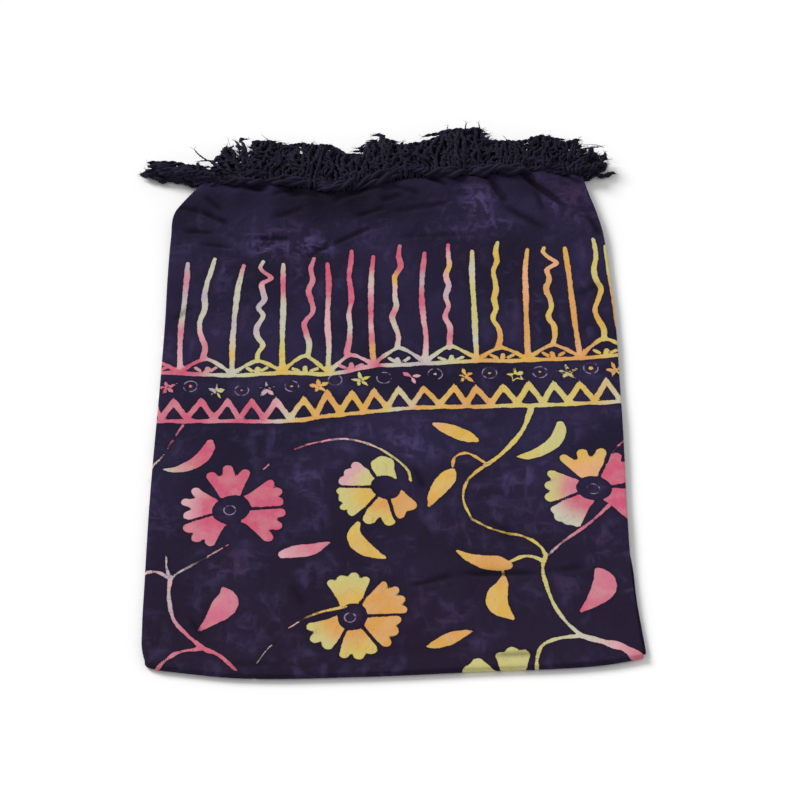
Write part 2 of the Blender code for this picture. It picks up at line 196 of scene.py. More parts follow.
def crease_drop(x, y, creases, ridge):
    """Depth of a table's troughs, each with a lower ridge along one side."""
    drop = 0.0
    for crease in creases:
        run_x = crease.x1 - crease.x0
        run_y = crease.y1 - crease.y0
        length = math.hypot(run_x, run_y)
        t = ((x - crease.x0) * run_x + (y - crease.y0) * run_y) / length ** 2
        side = ((x - crease.x0) * run_y - (y - crease.y0) * run_x) / length
        ends = smooth_step(t / 0.3) * smooth_step((1.0 - t) / 0.3)
        trough = np.exp(-(side / crease.width) ** 2)
        crest = np.exp(-((side - 2.0 * crease.width) / crease.width) ** 2)
        drop = drop + crease.depth * ends * (trough - ridge * crest)
    return drop


def low_waves(x, y):
    """The top layer's slight unevenness."""
    height = 0.0
    for wave in WAVES:
        angle = 2.0 * math.pi * (x / wave.across + y / wave.along) + wave.shift
        height = height + wave.share * np.sin(angle + 0.8 * np.sin(0.6 * angle))
    return WAVE_HEIGHT * height / 2.0


def top_height(x, y):
    """Height of the top layer's outer face."""
    left = table_curve(SIDES, "y", "left", y)
    right = table_curve(SIDES, "y", "right", y)
    inside = smooth_step((x - left) / CREASE_FADE) * smooth_step((right - x) / CREASE_FADE)
    folded = smooth_step((y - FRONT_CORNER_Y) / RELIEF_FADE)
    large = crease_drop(x, y, CREASES, 0.0) * inside
    fine = crease_drop(x, y, FINE_CREASES, 0.5) * (0.3 + 0.7 * inside) * folded
    return laid_height(y) + gather_lift(x, y) - large - fine + low_waves(x, y) * folded


# A sheet's columns. share is the place across, inward moves it to the right,
# depth is how far it lies inside the outer face, flat is its way past the edge.
Column = namedtuple("Column", "share inward depth flat")


def edge_return():
    """Steps round a free edge: how far out, how deep and how far along the cloth."""
    angles = [math.pi * i / HEM_STEPS for i in range(1, HEM_STEPS + 1)]
    steps = [(EDGE_RADIUS * math.sin(angle), EDGE_RADIUS * (1.0 - math.cos(angle)), EDGE_RADIUS * angle)
             for angle in angles]
    return steps + [(-HEM_LENGTH, 2.0 * EDGE_RADIUS, EDGE_RADIUS * math.pi + HEM_LENGTH)]


def sheet_columns(count, nose_steps):
    """Columns from the lip at the left, round the turned edge, to the right hem."""
    turn = math.pi * NOSE_RADIUS
    columns = []
    for inward in np.linspace(LIP_LENGTH, NOSE_RADIUS, 3)[:-1]:
        flat = -turn - (inward - NOSE_RADIUS)
        columns.append(Column(0.0, inward, 2.0 * NOSE_RADIUS, flat))
    for i in range(nose_steps):
        angle = math.pi * i / nose_steps
        inward = NOSE_RADIUS * (1.0 - math.sin(angle))
        depth = NOSE_RADIUS * (1.0 + math.cos(angle))
        columns.append(Column(0.0, inward, depth, -turn * (1.0 - i / nose_steps)))
    for share in np.linspace(NOSE_RADIUS / PACKET_WIDTH, 1.0, count):
        columns.append(Column(share, 0.0, 0.0, 0.0))
    columns += [Column(1.0, out, depth, way) for out, depth, way in edge_return()]
    return columns


def hem_rows(x, y, z, down):
    """A back edge's return from a point, up or down: points and their flat way."""
    return [(x, y + out, z + down * depth, way) for out, depth, way in edge_return()]


def layer_line(share, setback, count):
    """A layer's line from its back edge to its fold's middle, and where that is."""
    front, back = packet_point(share, np.array([0.0, 1.0]))[1]
    centre = front + setback
    along = centre - front + np.linspace(1.0, 0.0, count) * (back - centre)
    x, y = packet_point(share, along / (back - front))
    return x, y, centre


def outer_column(column):
    """One column of the cloth that shows, from the top's back hem to the under's.

    Returns its points, and the same points on the cloth laid flat, in mm.
    """
    x, y, centre = layer_line(column.share, FOLD_RADIUS, TOP_ROWS)
    z = top_height(x, y) - column.depth
    places = [(hx, hy, hz, y[0] + way) for hx, hy, hz, way in hem_rows(x[0], y[0], z[0], -1.0)[::-1]]
    places += list(zip(x, y, z, y))
    radius = FOLD_RADIUS - column.depth
    for i in range(1, FOLD_STEPS):
        turn = math.pi * i / FOLD_STEPS
        point_y = centre - radius * math.sin(turn)
        point_z = FOLD_RADIUS + radius * math.cos(turn)
        places.append((x[-1], point_y, point_z, centre - FOLD_RADIUS * turn))
    x, y, _ = layer_line(column.share, FOLD_RADIUS, UNDER_ROWS)
    x, y = x[::-1], y[::-1]
    low = 2.0 * centre - math.pi * FOLD_RADIUS
    uneven = UNDER_LIFT * (1.0 + np.sin(61.0 * x + 2.0 * np.sin(47.0 * y))) / 2.0
    z = column.depth + uneven * smooth_step((y - centre) / RELIEF_FADE)
    places += list(zip(x, y, z, low - y))
    places += [(hx, hy, hz, low - y[-1] - way) for hx, hy, hz, way in hem_rows(x[-1], y[-1], z[-1], 1.0)]
    points = [(px + column.inward, py, pz) for px, py, pz, _ in places]
    flat = [((px + column.flat) / MM, way / MM) for px, _, _, way in places]
    return points, flat


# The hidden layers: the high one runs forward, turns inside the fold, and runs back
INNER_COLUMNS = 60
INNER_ROWS = 96
INNER_FOLD_STEPS = 6
INNER_CLEARANCE = 0.0030     # below the top layer and above the under layer
INNER_SLACK = 0.0022         # more of it where the packet is higher
INNER_SETBACK = 0.0060       # from the front fold
INNER_START = 0.012          # share of the width where the sheet starts
INNER_WAVER = 0.0007         # how much its right edge wanders
INNER_LOW = 0.55             # the low layer's height, as a share of the clearance
INNER_LOW_PEEK = 0.45        # how much of the high layer's peek it has
INNER_STRETCH = 8            # power of the place across by which the right edge peeks


def inner_column(column):
    """One column of the hidden layers, from the high one's back edge to the low one's."""
    x, y, centre = layer_line(column.share, INNER_SETBACK + FOLD_RADIUS / 2.0, INNER_ROWS)
    peek = PEEK * smooth_step((PEEK_START_Y - y) / PEEK_LENGTH) - EDGE_SETBACK
    stretch = column.share ** INNER_STRETCH
    waver = INNER_WAVER * np.sin(41.0 * y + 1.5 * np.sin(23.0 * y))
    slack = INNER_SLACK * smooth_step((y - RAMP_START_Y) / RAMP_LENGTH)
    high = laid_height(y) - INNER_CLEARANCE - slack
    low = np.full_like(high, INNER_CLEARANCE * INNER_LOW)
    radius = (high[-1] - low[-1]) / 2.0
    places = [(px + stretch * (p + w), py, pz - column.depth, py)
              for px, py, pz, p, w in zip(x, y, high, peek, waver)]
    for i in range(1, INNER_FOLD_STEPS):
        turn = math.pi * i / INNER_FOLD_STEPS
        reach = radius - column.depth
        last_x = places[INNER_ROWS - 1][0]
        places.append((last_x, centre - reach * math.sin(turn),
                       low[-1] + radius + reach * math.cos(turn), centre - radius * turn))
    end = centre - math.pi * radius
    for px, py, pz, p, w in list(zip(x, y, low, peek, waver))[::-1]:
        low_x = px + stretch * (INNER_LOW_PEEK * p - w)
        places.append((low_x, py, pz + column.depth, end - (py - centre)))
    points = [(px + column.inward, py, pz) for px, py, pz, _ in places]
    flat = [(-(px + column.flat) / MM, way / MM) for px, _, _, way in places]
    return points, flat


# Dyes by the letters that the tables use, as sRGB values from 0 to 255
SRGB = {
    "r": (214, 96, 126),     # rose
    "p": (216, 124, 146),    # pink
    "b": (228, 172, 182),    # blush
    "c": (208, 204, 184),    # cream
    "v": (196, 178, 190),    # lilac
    "l": (212, 203, 130),    # lime
    "y": (222, 198, 104),    # yellow
    "g": (228, 184, 88),     # gold
    "o": (228, 166, 92),     # orange
    "a": (240, 176, 126),    # peach
}
CREAM = "c"
BLUSH = "b"


def linear(colour):
    """A colour of 0 to 255 in sRGB, as linear light."""
    share = np.asarray(colour, dtype=float) / 255.0
    return np.where(share <= 0.04045, share / 12.92, ((share + 0.055) / 1.055) ** 2.4)


DYES = {letter: linear(colour) for letter, colour in SRGB.items()}

# The pattern's places are in mm on the cloth laid flat: x to the right and y
# towards the fringe, with the top layer where it lies in the packet.
FAR = 20.0                   # distances are kept up to this
REACH = 26.0                 # and worked out this far from a motif
UNDER_MIRROR = -811.0        # the under layer's y is this less the top's
UNDER_SHIFT = 6.0
UNDER_FROM = -412.0
FRONT_MOTIFS = -340.0        # motifs in front of this aren't repeated below

# Long bars of the border, from top to foot. bends are the ways, in mm, that a
# bar wanders to the right at even steps, and dyes are spread along it.
BARS = table("x0 y0 x1 y1 bends dyes", (
    (-253, 230, -257, 52, (0, 0, -1, -2.5, -2, 0), "vpvcpbb"),
    (-218, 237, -229, 66, (0, -3, -6.5, -7.5, -5, -9.5, -7, 1, 0), "cccvccbpp"),
    (-180, 225, -192, 48, (0, -4, -4.5, -4, -2.5, 0), "pcccvcgc"),
    (-157, 190, -160, 62, (0, 3, 5, -2.5, 4.5, 0, -4, -1, 6, 0, 0), "bvvcvcll"),
    (-129, 226, -129, 50, (0, 0, 0.5, 0, -0.5, 0), "cprccclyy"),
    (-89, 235, -97, 70, (0, -3.5, 0, -4.5, 0, 3, -7, -4, 1, 0), "ppprpprcl"),
    (-72, 226, -72, 48, (0, 2, 0.5, 0, 1.5, 0), "rrrbbbcl"),
    (-40, 247, -48, 72, (0, -0.5, -2, 1, 2.5, 0, 2.5, 2, 0), "rrrrrbcpp"),
    (-12, 237, -15, 54, (0, -2.5, -3, -3, -1.5, 0), "rrcbrrbrgp"),
    (23, 254, 15, 80, (0, -1.5, 2, -5.5, -4.5, -4.5, -2, -7.5, -2.5, 2, 0), "rrrgbcpcbc"),
    (55, 241, 50, 58, (0, -3, -4, -2, 1.5, 0), "rrvrrbpbc"),
    (86, 255, 81, 78, (0, 0, 1.5, -3.5, 0.5, -4, 0, -5, 1.5, 1, 0), "rbgbvbpbrb"),
    (117, 243, 115, 60, (0, -1.5, -0.5, -0.5, 0), "lclllcg"),
    (151, 258, 143, 78, (0, -3, -1, -6, -4, -2.5, -5, -2.5, -7, 0, 2.5, 0), "lggygyyoo"),
    (189, 245, 179, 60, (0, -3, -2, -1.5, -0.5, 0), "gaaooo"),
    (212, 208, 212, 80, (0, 2.5, -3, 1, 2.5, -3, 3.5, 3.5, 0), "aooyggg"),
    (238, 246, 245, 62, (0, 0.5, 0, -0.5, 0), "gooooa"),
    (276, 261, 277, 88, (0, 1.5, 1, -3, -2, 3.5, -1, -7, -4.5, 1.5, 0), "llylggogl"),
    (291, 248, 299, 70, (0, 0.5, 0, 0, 0), "llooo"),
))
BAR_HALF = 3.4
BAR_TIP = 2.4
BEND_STEPS = 3               # short straight steps from one bend to the next
BROKEN_BAR = 7
BREAK = 0.56                 # where it breaks, as a share of its length
BREAK_HALF = 0.012           # half of the gap, as the same share
BAR_TIP_SHARE = 0.12         # the share of its length in which a bar narrows to its tip
BAR_WAVER = 0.4              # by which half its width wavers

# The kinks on top of two wavy bars: offsets in mm from the bar's own top
KINKS = table("bar points dyes", (
    (3, ((2, 41), (-2, 30), (5, 21), (13, 13), (2, 5), (0, 0)), "cppb"),
    (15, ((-1, 39), (-3, 31), (6, 20), (14, 12), (3, 4), (0, 0)), "gaa"),
))

# The line under the arches, the arches' feet and tops, and the border's dyes
ARCH_LINE = table("x y", (
    (-290, 46), (-204, 39), (-174, 39), (-121, 41), (-69, 38), (-15, 50), (17, 51), (106, 55), (172, 55),
    (245, 57), (300, 62),
))
ARCHES = table("left right top", (
    (-320, -257, 64), (-257, -192, 67), (-192, -129, 62), (-129, -72, 69), (-72, -15, 69), (-15, 50, 80),
    (50, 115, 81), (115, 179, 77), (179, 245, 80), (245, 310, 90),
))
ARCH_HALF = 2.7
ARCH_LINE_HALF = 3.1
ARCH_STEPS = 14
ARCH_BEND = 1.35             # 1 is a tent, 2 is round
FAN_HALF = 2.3
FAN_START = 9.0
FAN_LENGTH = 8.0
FAN_ANGLES = (35.0, 145.0)
FAN_STEM = 10.0
FAN_STEM_HALF = 3.4

# Where the border's dyes change, from left to right
ARCH_STOPS = table("x dye", (
    (-290, "r"), (-232, "r"), (-214, "c"), (-190, "c"), (-160, "l"), (-125, "g"), (-104, "l"), (-72, "y"),
    (-60, "c"), (-46, "p"), (-28, "b"), (-8, "r"), (4, "c"), (46, "v"), (60, "c"), (98, "l"), (116, "o"),
    (172, "g"), (212, "o"), (262, "o"), (282, "y"), (300, "g"),
))
ZIGZAG_STOPS = table("x dye", (
    (-290, "p"), (-240, "r"), (-196, "p"), (-176, "r"), (-152, "r"), (-134, "b"), (-122, "c"),
    (-106, "g"), (-76, "o"), (-44, "g"), (-16, "o"), (6, "y"), (24, "c"), (44, "o"), (70, "g"),
    (104, "o"), (128, "o"), (150, "y"), (184, "y"), (206, "l"), (236, "y"), (262, "g"), (296, "c"),
))

# The zigzag's peaks, and the line that it stands on
ZIGZAG = table("x y", (
    (-292, 2), (-263, 1), (-229, 1), (-196, 0), (-166, -1), (-136, -1), (-102, 1), (-73, 10), (-42, 9),
    (-15, 12), (16, 14), (47, 15), (85, 16), (112, 14), (146, 15), (178, 19), (209, 18), (241, 17),
    (275, 22), (303, 18),
))
ZIGZAG_LINE = table("x y", (
    (-290, -33), (-217, -35), (-119, -37), (-70, -30), (14, -21), (60, -19), (143, -19), (221, -18),
    (300, -15),
))
ZIGZAG_HALF = 3.3
ZIGZAG_LINE_HALF = 3.0
VALLEY_RISE = 4.0
PEAK_RISE = 2.6

# Stars between the border's lines. leaves are half the widths of the five
# points, anticlockwise from the top one. dyes are for the first three points
# and the rest, and outline draws a thin star too.
STARS = table("x y turn leaves dyes outline", (
    (-272, 20, 12, (2.4, 2.2, 2.6, 2.8, 2.2), "rp", 0),
    (-211, 13, -8, (1.4, 2.2, 1.2, 1.4, 3.4), "vl", 0),
    (-148, 15, 4, (1.5, 0.9, 3, 3, 0.9), "vb", 0),
    (-83, 18, 8, (3, 3.2, 2.4, 2.4, 3.2), "og", 0),
    (-31, 27, 10, (2.6, 2.4, 2.4, 2.2, 2.4), "ly", 0),
    (32, 32, -14, (0, 3.2, 0, 2.4, 2.8), "pb", 0),
    (99, 31, 8, (2.4, 1.2, 2.2, 2.6, 2.6), "go", 0),
    (163, 31, 10, (1.6, 2, 0, 0, 3.4), "yl", 1),
    (227, 34, 4, (1.2, 1.2, 2.2, 2.4, 1.4), "lg", 1),
    (287, 36, 12, (2.8, 2.8, 2.2, 2.2, 2.4), "og", 0),
))
STAR_REACH = 12.5
STAR_HOLE = 2.4
STAR_WAIST = 5.0
STAR_LINE = 0.7

# Thin rings between the stars, some with a dot, and in the middle of flowers
RINGS = table("x y radius dot", (
    (-243, 22, 8.5, 2.2), (-179, 14, 8.5, 1.8), (-117, 19, 8.5, 2.2), (-63, 28, 8.5, 0), (-2, 30, 9, 0),
    (62, 35, 9, 2), (130, 35, 9, 2), (193, 35, 9, 1.8), (257, 40, 9, 3), (-190, -173, 7, 0),
    (-48, -332, 6.5, 0), (246, -151, 7.5, 0),
))

# Flowers of five petals. A petal's aim is in degrees from x, anticlockwise,
# fan is the angle between its outer lobes, and dyes are for its root and tip.
FLOWERS = table("name x y start", (
    ("left", -188, -172, 22), ("middle", -3, -143, 18), ("front", -45, -331, 18),
    ("right", 247, -150, 20), ("folded", 136, -440, 18),
))
PETALS = table("flower aim length fan lobes base dyes", (
    ("left", 95, 65, 42, 3, 6, "rr"), ("left", 25, 66, 30, 3, 5, "rr"), ("left", -25, 67, 38, 3, 5, "rr"),
    ("left", -134, 63, 36, 3, 5, "rp"), ("left", 168, 60, 42, 3, 5, "rb"),
    ("middle", 95, 46, 24, 3, 8, "ll"), ("middle", 152, 57, 32, 3, 5, "lb"),
    ("middle", 203, 62, 38, 4, 5, "gl"), ("middle", 260, 59, 27, 2, 7, "oy"),
    ("middle", 303, 50, 26, 2, 8, "oo"), ("front", 95, 61, 44, 4, 5, "gl"),
    ("front", 30, 66, 42, 4, 5, "oo"), ("front", -25, 58, 38, 3, 5, "oo"),
    ("front", -83, 59, 36, 3, 6, "oy"), ("front", -146, 57, 38, 3, 6, "ol"),
    ("right", 101, 63, 48, 3, 6, "ag"), ("right", 174, 61, 38, 3, 5, "pl"),
    ("right", 229, 66, 34, 4, 5, "rc"), ("right", 38, 64, 38, 3, 5, "rr"),
    ("right", -28, 64, 38, 3, 5, "rr"), ("folded", 90, 61, 30, 3, 6, "ll"),
    ("folded", 141, 66, 14, 2, 5, "ll"), ("folded", 190, 62, 34, 3, 5, "yl"),
    ("folded", -60, 62, 34, 3, 5, "gy"), ("folded", 4, 60, 34, 3, 5, "lc"),
))
LOBE_RADIUS = 5.8
LOBE_BLEND = 8.0
LOBE_WANDER = 1.8            # a lobe is up to this much longer or shorter
LOBE_ROUND = 3.0             # twice how much shorter the outer lobes are
WIDER_BASE = 3.2             # petals are cut off by the round middle
ROOT_INSIDE = 4.0            # and start this far inside it
PETAL_GAP = 4.2
FLOWER_REACH = 76.0

# Leaves and drops: a line of points, each with half its width, and the dyes of
# its two ends
LEAVES = table("points dyes", (
    (((-271, -110, 1.5), (-256, -110, 4.5), (-240, -104, 7.5), (-226, -93, 8.5), (-218, -78, 7.5),
     (-216, -68, 4)), "cr"),
    (((157, -99, 1.5), (172, -98, 5.5), (191, -89, 7.5), (205, -76, 8.5), (212, -61, 7.5), (213, -50, 5)),
     "yl"),
    (((58, -46, 2), (68, -51, 6.5), (82, -58, 9), (97, -66, 8.5), (109, -73, 3)), "ag"),
    (((48, -172, 2), (54, -158, 7), (62, -144, 10.5), (71, -131, 10.5), (77, -121, 5)), "og"),
    (((-126, -240, 5.5), (-112, -236, 8.5), (-93, -234, 8.5), (-80, -228, 4.5), (-71, -224, 1)), "bp"),
    (((-37, -196, 2.5), (-42, -211, 7.5), (-37, -226, 10.5), (-24, -238, 8), (-7, -247, 2)), "yg"),
    (((79, -240, 1.5), (92, -249, 5.5), (108, -256, 9), (125, -258, 10), (138, -262, 5)), "go"),
    (((132, -273, 1), (130, -288, 6.5), (123, -305, 12), (124, -321, 11.5), (139, -337, 2.5)), "og"),
    (((40, -374, 1.5), (53, -370, 6), (68, -363, 8), (82, -357, 4.5), (92, -354, 1)), "go"),
    (((-221, -345, 2), (-208, -332, 7.5), (-194, -314, 15), (-190, -301, 10.5), (-195, -288, 2.5)), "rp"),
    (((219, -329, 2), (232, -317, 7.5), (246, -300, 14), (249, -286, 12.5), (243, -272, 4.5)), "rp"),
))

# Vines and stems: a line of points, half the width at both ends, and its dyes
VINES = table("points start end dyes", (
    (((180, -20), (166, -58), (139, -94), (114, -115)), 4.2, 2.6, "lyg"),
    (((114, -115), (96, -134), (89, -162), (98, -193)), 2.6, 1.4, "ggy"),
    (((98, -193), (124, -210), (158, -220), (176, -234), (183, -248)), 1.6, 2.6, "ygyl"),
    (((183, -248), (178, -270), (185, -310), (198, -340), (217, -364)), 2.6, 2.6, "ylc"),
    (((217, -364), (244, -374), (265, -382), (284, -400)), 3.4, 8.5, "cbr"),
    (((131, -262), (132, -278)), 1.5, 1.5, "gg"),
    (((119, -109), (98, -93), (82, -98), (78, -114)), 2.2, 2.2, "go"),
    (((179, -256), (160, -249), (139, -257)), 2.6, 2.4, "ly"),
    (((217, -364), (192, -366), (172, -375), (164, -393), (163, -410)), 2.8, 2.4, "cll"),
    (((269, -170), (240, -200), (202, -231), (186, -248)), 2.6, 1.4, "rpv"),
    (((292, -74), (276, -92), (267, -112)), 1.6, 0.8, "rp"),
    (((-290, -264), (-273, -262), (-257, -273)), 2.6, 2.2, "bv"),
    (((-263, -240), (-262, -256), (-257, -273)), 0.9, 2, "vv"),
    (((-257, -273), (-247, -263), (-221, -246), (-191, -225)), 2.2, 0.8, "vvp"),
    (((-257, -273), (-258, -296), (-251, -330), (-235, -352), (-215, -372)), 2.6, 2.8, "bvpr"),
    (((-215, -372), (-196, -382), (-178, -402)), 3.4, 2.2, "rr"),
    (((-215, -372), (-241, -375), (-258, -386), (-272, -404)), 2.6, 2.4, "rpr"),
    (((-250, -40), (-254, -48), (-258, -56)), 1.8, 1.4, "rr"),
    (((-262, -65), (-265, -70), (-267, -76)), 1.5, 1, "rp"),
    (((-272, -87), (-278, -96), (-290, -108)), 0.9, 2.2, "bc"),
    (((-112, -81), (-88, -72), (-52, -67), (-18, -78), (8, -98), (24, -118), (27, -134)), 1.4, 2, "rbly"),
    (((-118, -345), (-100, -332), (-80, -323), (-52, -316)), 0.7, 2.2, "bgg"),
    (((-150, -112), (-144, -105)), 1, 1, "pp"),
    (((-154, -392), (-144, -376), (-132, -362)), 0.7, 0.5, "vv"),
))
VINE_THIN = 0.80
VINE_STEPS = 6               # short straight steps from one point to the next


# Where the ground is washed lightest: middle and reach in mm, and how light. A negative share darkens it
# instead: painted shade just in front of the fringe, and darker patches elsewhere.
WASHES_AND_SHADES = table("x y wide deep share", (
    (-150, 262, 34, 22, 0.8), (-92, 256, 30, 20, 0.8), (-205, 205, 34, 26, 0.4), (-70, 180, 40, 40, 0.3),
    (128, 332, 20, 26, 1), (150, 288, 26, 12, 0.8), (236, 330, 30, 30, 0.4), (62, 285, 26, 12, 0.4),
    (196, 150, 40, 40, 0.4), (30, -80, 40, 24, 0.5), (166, -130, 30, 40, 0.3), (-120, -130, 40, 22, 0.4),
    (-60, -60, 60, 16, 0.4), (220, -190, 16, 20, 0.7), (-205, -270, 30, 26, 0.3),
    (110, -160, 40, 24, 0.3), (-60, 335, 110, 34, -1), (-210, 340, 40, 20, -0.6),
    (196, 352, 40, 24, -0.7), (20, -300, 50, 30, -0.3), (90, 200, 50, 50, -0.3),
))


def wash_and_shade_at(x, y):
    """How much the ground is washed lighter at some places, in mm, less where painted shade darkens it.
    """
    share = 0.0
    for wash in WASHES_AND_SHADES:
        away = ((x - wash.x) / wash.wide) ** 2 + ((y - wash.y) / wash.deep) ** 2
        share = share + wash.share * np.exp(-away)
    return share


def smooth_line(points, steps):
    """A rounder line through the rows of points, with steps from one to the next."""
    points = np.asarray(points, dtype=float)
    if len(points) < 3:
        return points
    padded = np.vstack((2.0 * points[0] - points[1], points, 2.0 * points[-1] - points[-2]))
    line = []
    for before, start, end, after in zip(padded, padded[1:], padded[2:], padded[3:]):
        for i in range(steps):
            t = i / steps
            bend = (2.0 * before - 5.0 * start + 4.0 * end - after) * t * t
            curl = (3.0 * (start - end) + after - before) * t ** 3
            line.append(start + ((end - before) * t + bend + curl) / 2.0)
    line.append(points[-1])
    return np.array(line)


def mix_dyes(letters, places, at):
    """Dyes at some places, mixed between the places where they are given."""
    colours = np.array([DYES[letter] for letter in letters])
    return np.stack([np.interp(at, places, colours[:, k]) for k in range(3)], axis=-1)


def dye_at(stops, x):
    """The dye of a border at a place."""
    return mix_dyes([stop.dye for stop in stops], [stop.x for stop in stops], x)


def dye_along(letters, count):
    """Dyes spread evenly along a line of count points."""
    return mix_dyes(letters, range(len(letters)), np.linspace(0.0, len(letters) - 1.0, count))


def toward(angle):
    """A step of one unit in a direction."""
    return np.array((math.cos(angle), math.sin(angle)))


class Pattern:
    """Distances from a sheet's points to the motifs, in mm, less than zero inside.

    wax is for leaves and petals. A stroke has its signed distance from the
    middle line (side), half its width (half), the way past its outline (off)
    and the way along it (run). ring and dot are for the rings.
    """

    def __init__(self, x, y):
        self.x = np.asarray(x, dtype=float)
        self.y = np.asarray(y, dtype=float)
        count = len(self.x)
        self.wax = np.full(count, FAR)
        self.side = np.full(count, FAR)
        self.half = np.zeros(count)
        self.off = np.full(count, FAR)
        self.run = np.zeros(count)
        self.ring = np.full(count, FAR)
        self.dot = np.full(count, FAR)
        self.near = np.full(count, FAR)
        self.dye = np.tile(DYES[CREAM], (count, 1))

    def around(self, xs, ys, margin=REACH):
        """Indices of the points close to some places."""
        inside_x = (self.x > min(xs) - margin) & (self.x < max(xs) + margin)
        inside_y = (self.y > min(ys) - margin) & (self.y < max(ys) + margin)
        return np.flatnonzero(inside_x & inside_y)

    def tint(self, pick, distance, colour):
        closer = distance < self.near[pick]
        chosen = pick[closer]
        self.near[chosen] = distance[closer]
        self.dye[chosen] = np.broadcast_to(colour, (len(pick), 3))[closer]

    def area(self, pick, distance, colour):
        self.wax[pick] = np.minimum(self.wax[pick], distance)
        self.tint(pick, distance, colour)

    def to_segment(self, pick, start, end):
        """Share along a segment, distance from it, and which side."""
        run = end - start
        dx = self.x[pick] - start[0]
        dy = self.y[pick] - start[1]
        t = np.clip((dx * run[0] + dy * run[1]) / max(run @ run, 1e-9), 0.0, 1.0)
        distance = np.hypot(dx - t * run[0], dy - t * run[1])
        return t, distance, np.where(run[0] * dy - run[1] * dx < 0.0, -1.0, 1.0)

    def stroke(self, line, halves, colours):
        """A line of even paint."""
        way = 0.0
        for i in range(len(line) - 1):
            start, end = line[i], line[i + 1]
            pick = self.around((start[0], end[0]), (start[1], end[1]), FAR)
            t, distance, sign = self.to_segment(pick, start, end)
            half = halves[i] + t * (halves[i + 1] - halves[i])
            off = distance - half
            length = math.hypot(*(end - start))
            closer = off < self.off[pick]
            chosen = pick[closer]
            self.off[chosen] = off[closer]
            self.side[chosen] = (distance * sign)[closer]
            self.half[chosen] = half[closer]
            self.run[chosen] = (way + t * length)[closer]
            colour = colours[i] + t[:, None] * (colours[i + 1] - colours[i])
            self.tint(pick, off, colour)
            way += length

    def blade(self, line, halves, colours):
        """A broad leaf round a line."""
        xs, ys = line[:, 0], line[:, 1]
        pick = self.around(xs, ys)
        if not len(pick):
            return
        best = np.full(len(pick), 1e3)
        tint = np.zeros((len(pick), 3))
        for i in range(len(line) - 1):
            t, distance, _ = self.to_segment(pick, line[i], line[i + 1])
            inside = distance - (halves[i] + t * (halves[i + 1] - halves[i]))
            colour = colours[i] + t[:, None] * (colours[i + 1] - colours[i])
            tint = np.where((inside < best)[:, None], colour, tint)
            best = np.minimum(best, inside)
        self.area(pick, best, tint)

    def petal(self, pick, flower, petal):
        """Distance to rounded lobes that spread from a base, and their dye."""
        aim = math.radians(petal.aim)
        middle = np.array((flower.x, flower.y), dtype=float)
        base = middle + (flower.start - ROOT_INSIDE) * toward(aim)
        lobe_radius = LOBE_RADIUS * (3.0 / petal.lobes) ** 0.7
        base_radius = petal.base + WIDER_BASE
        blended = None
        for lobe in range(petal.lobes):
            place = lobe / (petal.lobes - 1.0) - 0.5
            angle = aim + math.radians(petal.fan) * place
            wander = math.sin(3.7 * petal.aim + 2.1 * lobe)
            length = petal.length - lobe_radius - LOBE_ROUND * abs(place) + LOBE_WANDER * wander
            tip = middle + length * toward(angle)
            t, distance, _ = self.to_segment(pick, base, tip)
            radius = lobe_radius + 0.7 * math.cos(2.3 * petal.aim + lobe)
            inside = distance - (base_radius + t * (radius - base_radius))
            if blended is None:
                blended = inside
            else:
                mix = np.maximum(LOBE_BLEND - np.abs(blended - inside), 0.0) / LOBE_BLEND
                blended = np.minimum(blended, inside) - mix * mix * LOBE_BLEND / 4.0
        out = np.hypot(self.x[pick] - flower.x, self.y[pick] - flower.y)
        share = smooth_step((out - flower.start - 6.0) / (petal.length - flower.start - 10.0))
        near, far = (DYES[letter] for letter in petal.dyes)
        return blended, near + share[:, None] * (far - near)

    def flower(self, flower, petals):
        """Petals with gaps between them, round a middle without wax."""
        pick = self.around((flower.x,), (flower.y,), FLOWER_REACH)
        if not len(pick):
            return
        nearest = np.full(len(pick), 1e3)
        second = np.full(len(pick), 1e3)
        tint = np.zeros((len(pick), 3))
        for petal in petals:
            inside, colour = self.petal(pick, flower, petal)
            closer = inside < nearest
            second = np.where(closer, nearest, np.minimum(second, inside))
            nearest = np.where(closer, inside, nearest)
            tint = np.where(closer[:, None], colour, tint)
        dx = self.x[pick] - flower.x
        dy = self.y[pick] - flower.y
        turn = np.arctan2(dy, dx)
        disc = flower.start * (1.0 + 0.07 * np.sin(2.0 * turn + flower.x))
        cut = np.maximum(nearest, disc - np.hypot(dx, dy))
        self.area(pick, np.maximum(cut, (PETAL_GAP - (second - nearest)) / 2.0), tint)

    def circle(self, ring):
        pick = self.around((ring.x,), (ring.y,), FAR)
        out = np.hypot(self.x[pick] - ring.x, self.y[pick] - ring.y)
        near = out - ring.radius
        self.ring[pick] = np.where(out < FAR, np.minimum(near, self.ring[pick]), self.ring[pick])
        if ring.dot:
            self.dot[pick] = np.minimum(self.dot[pick], out - ring.dot)


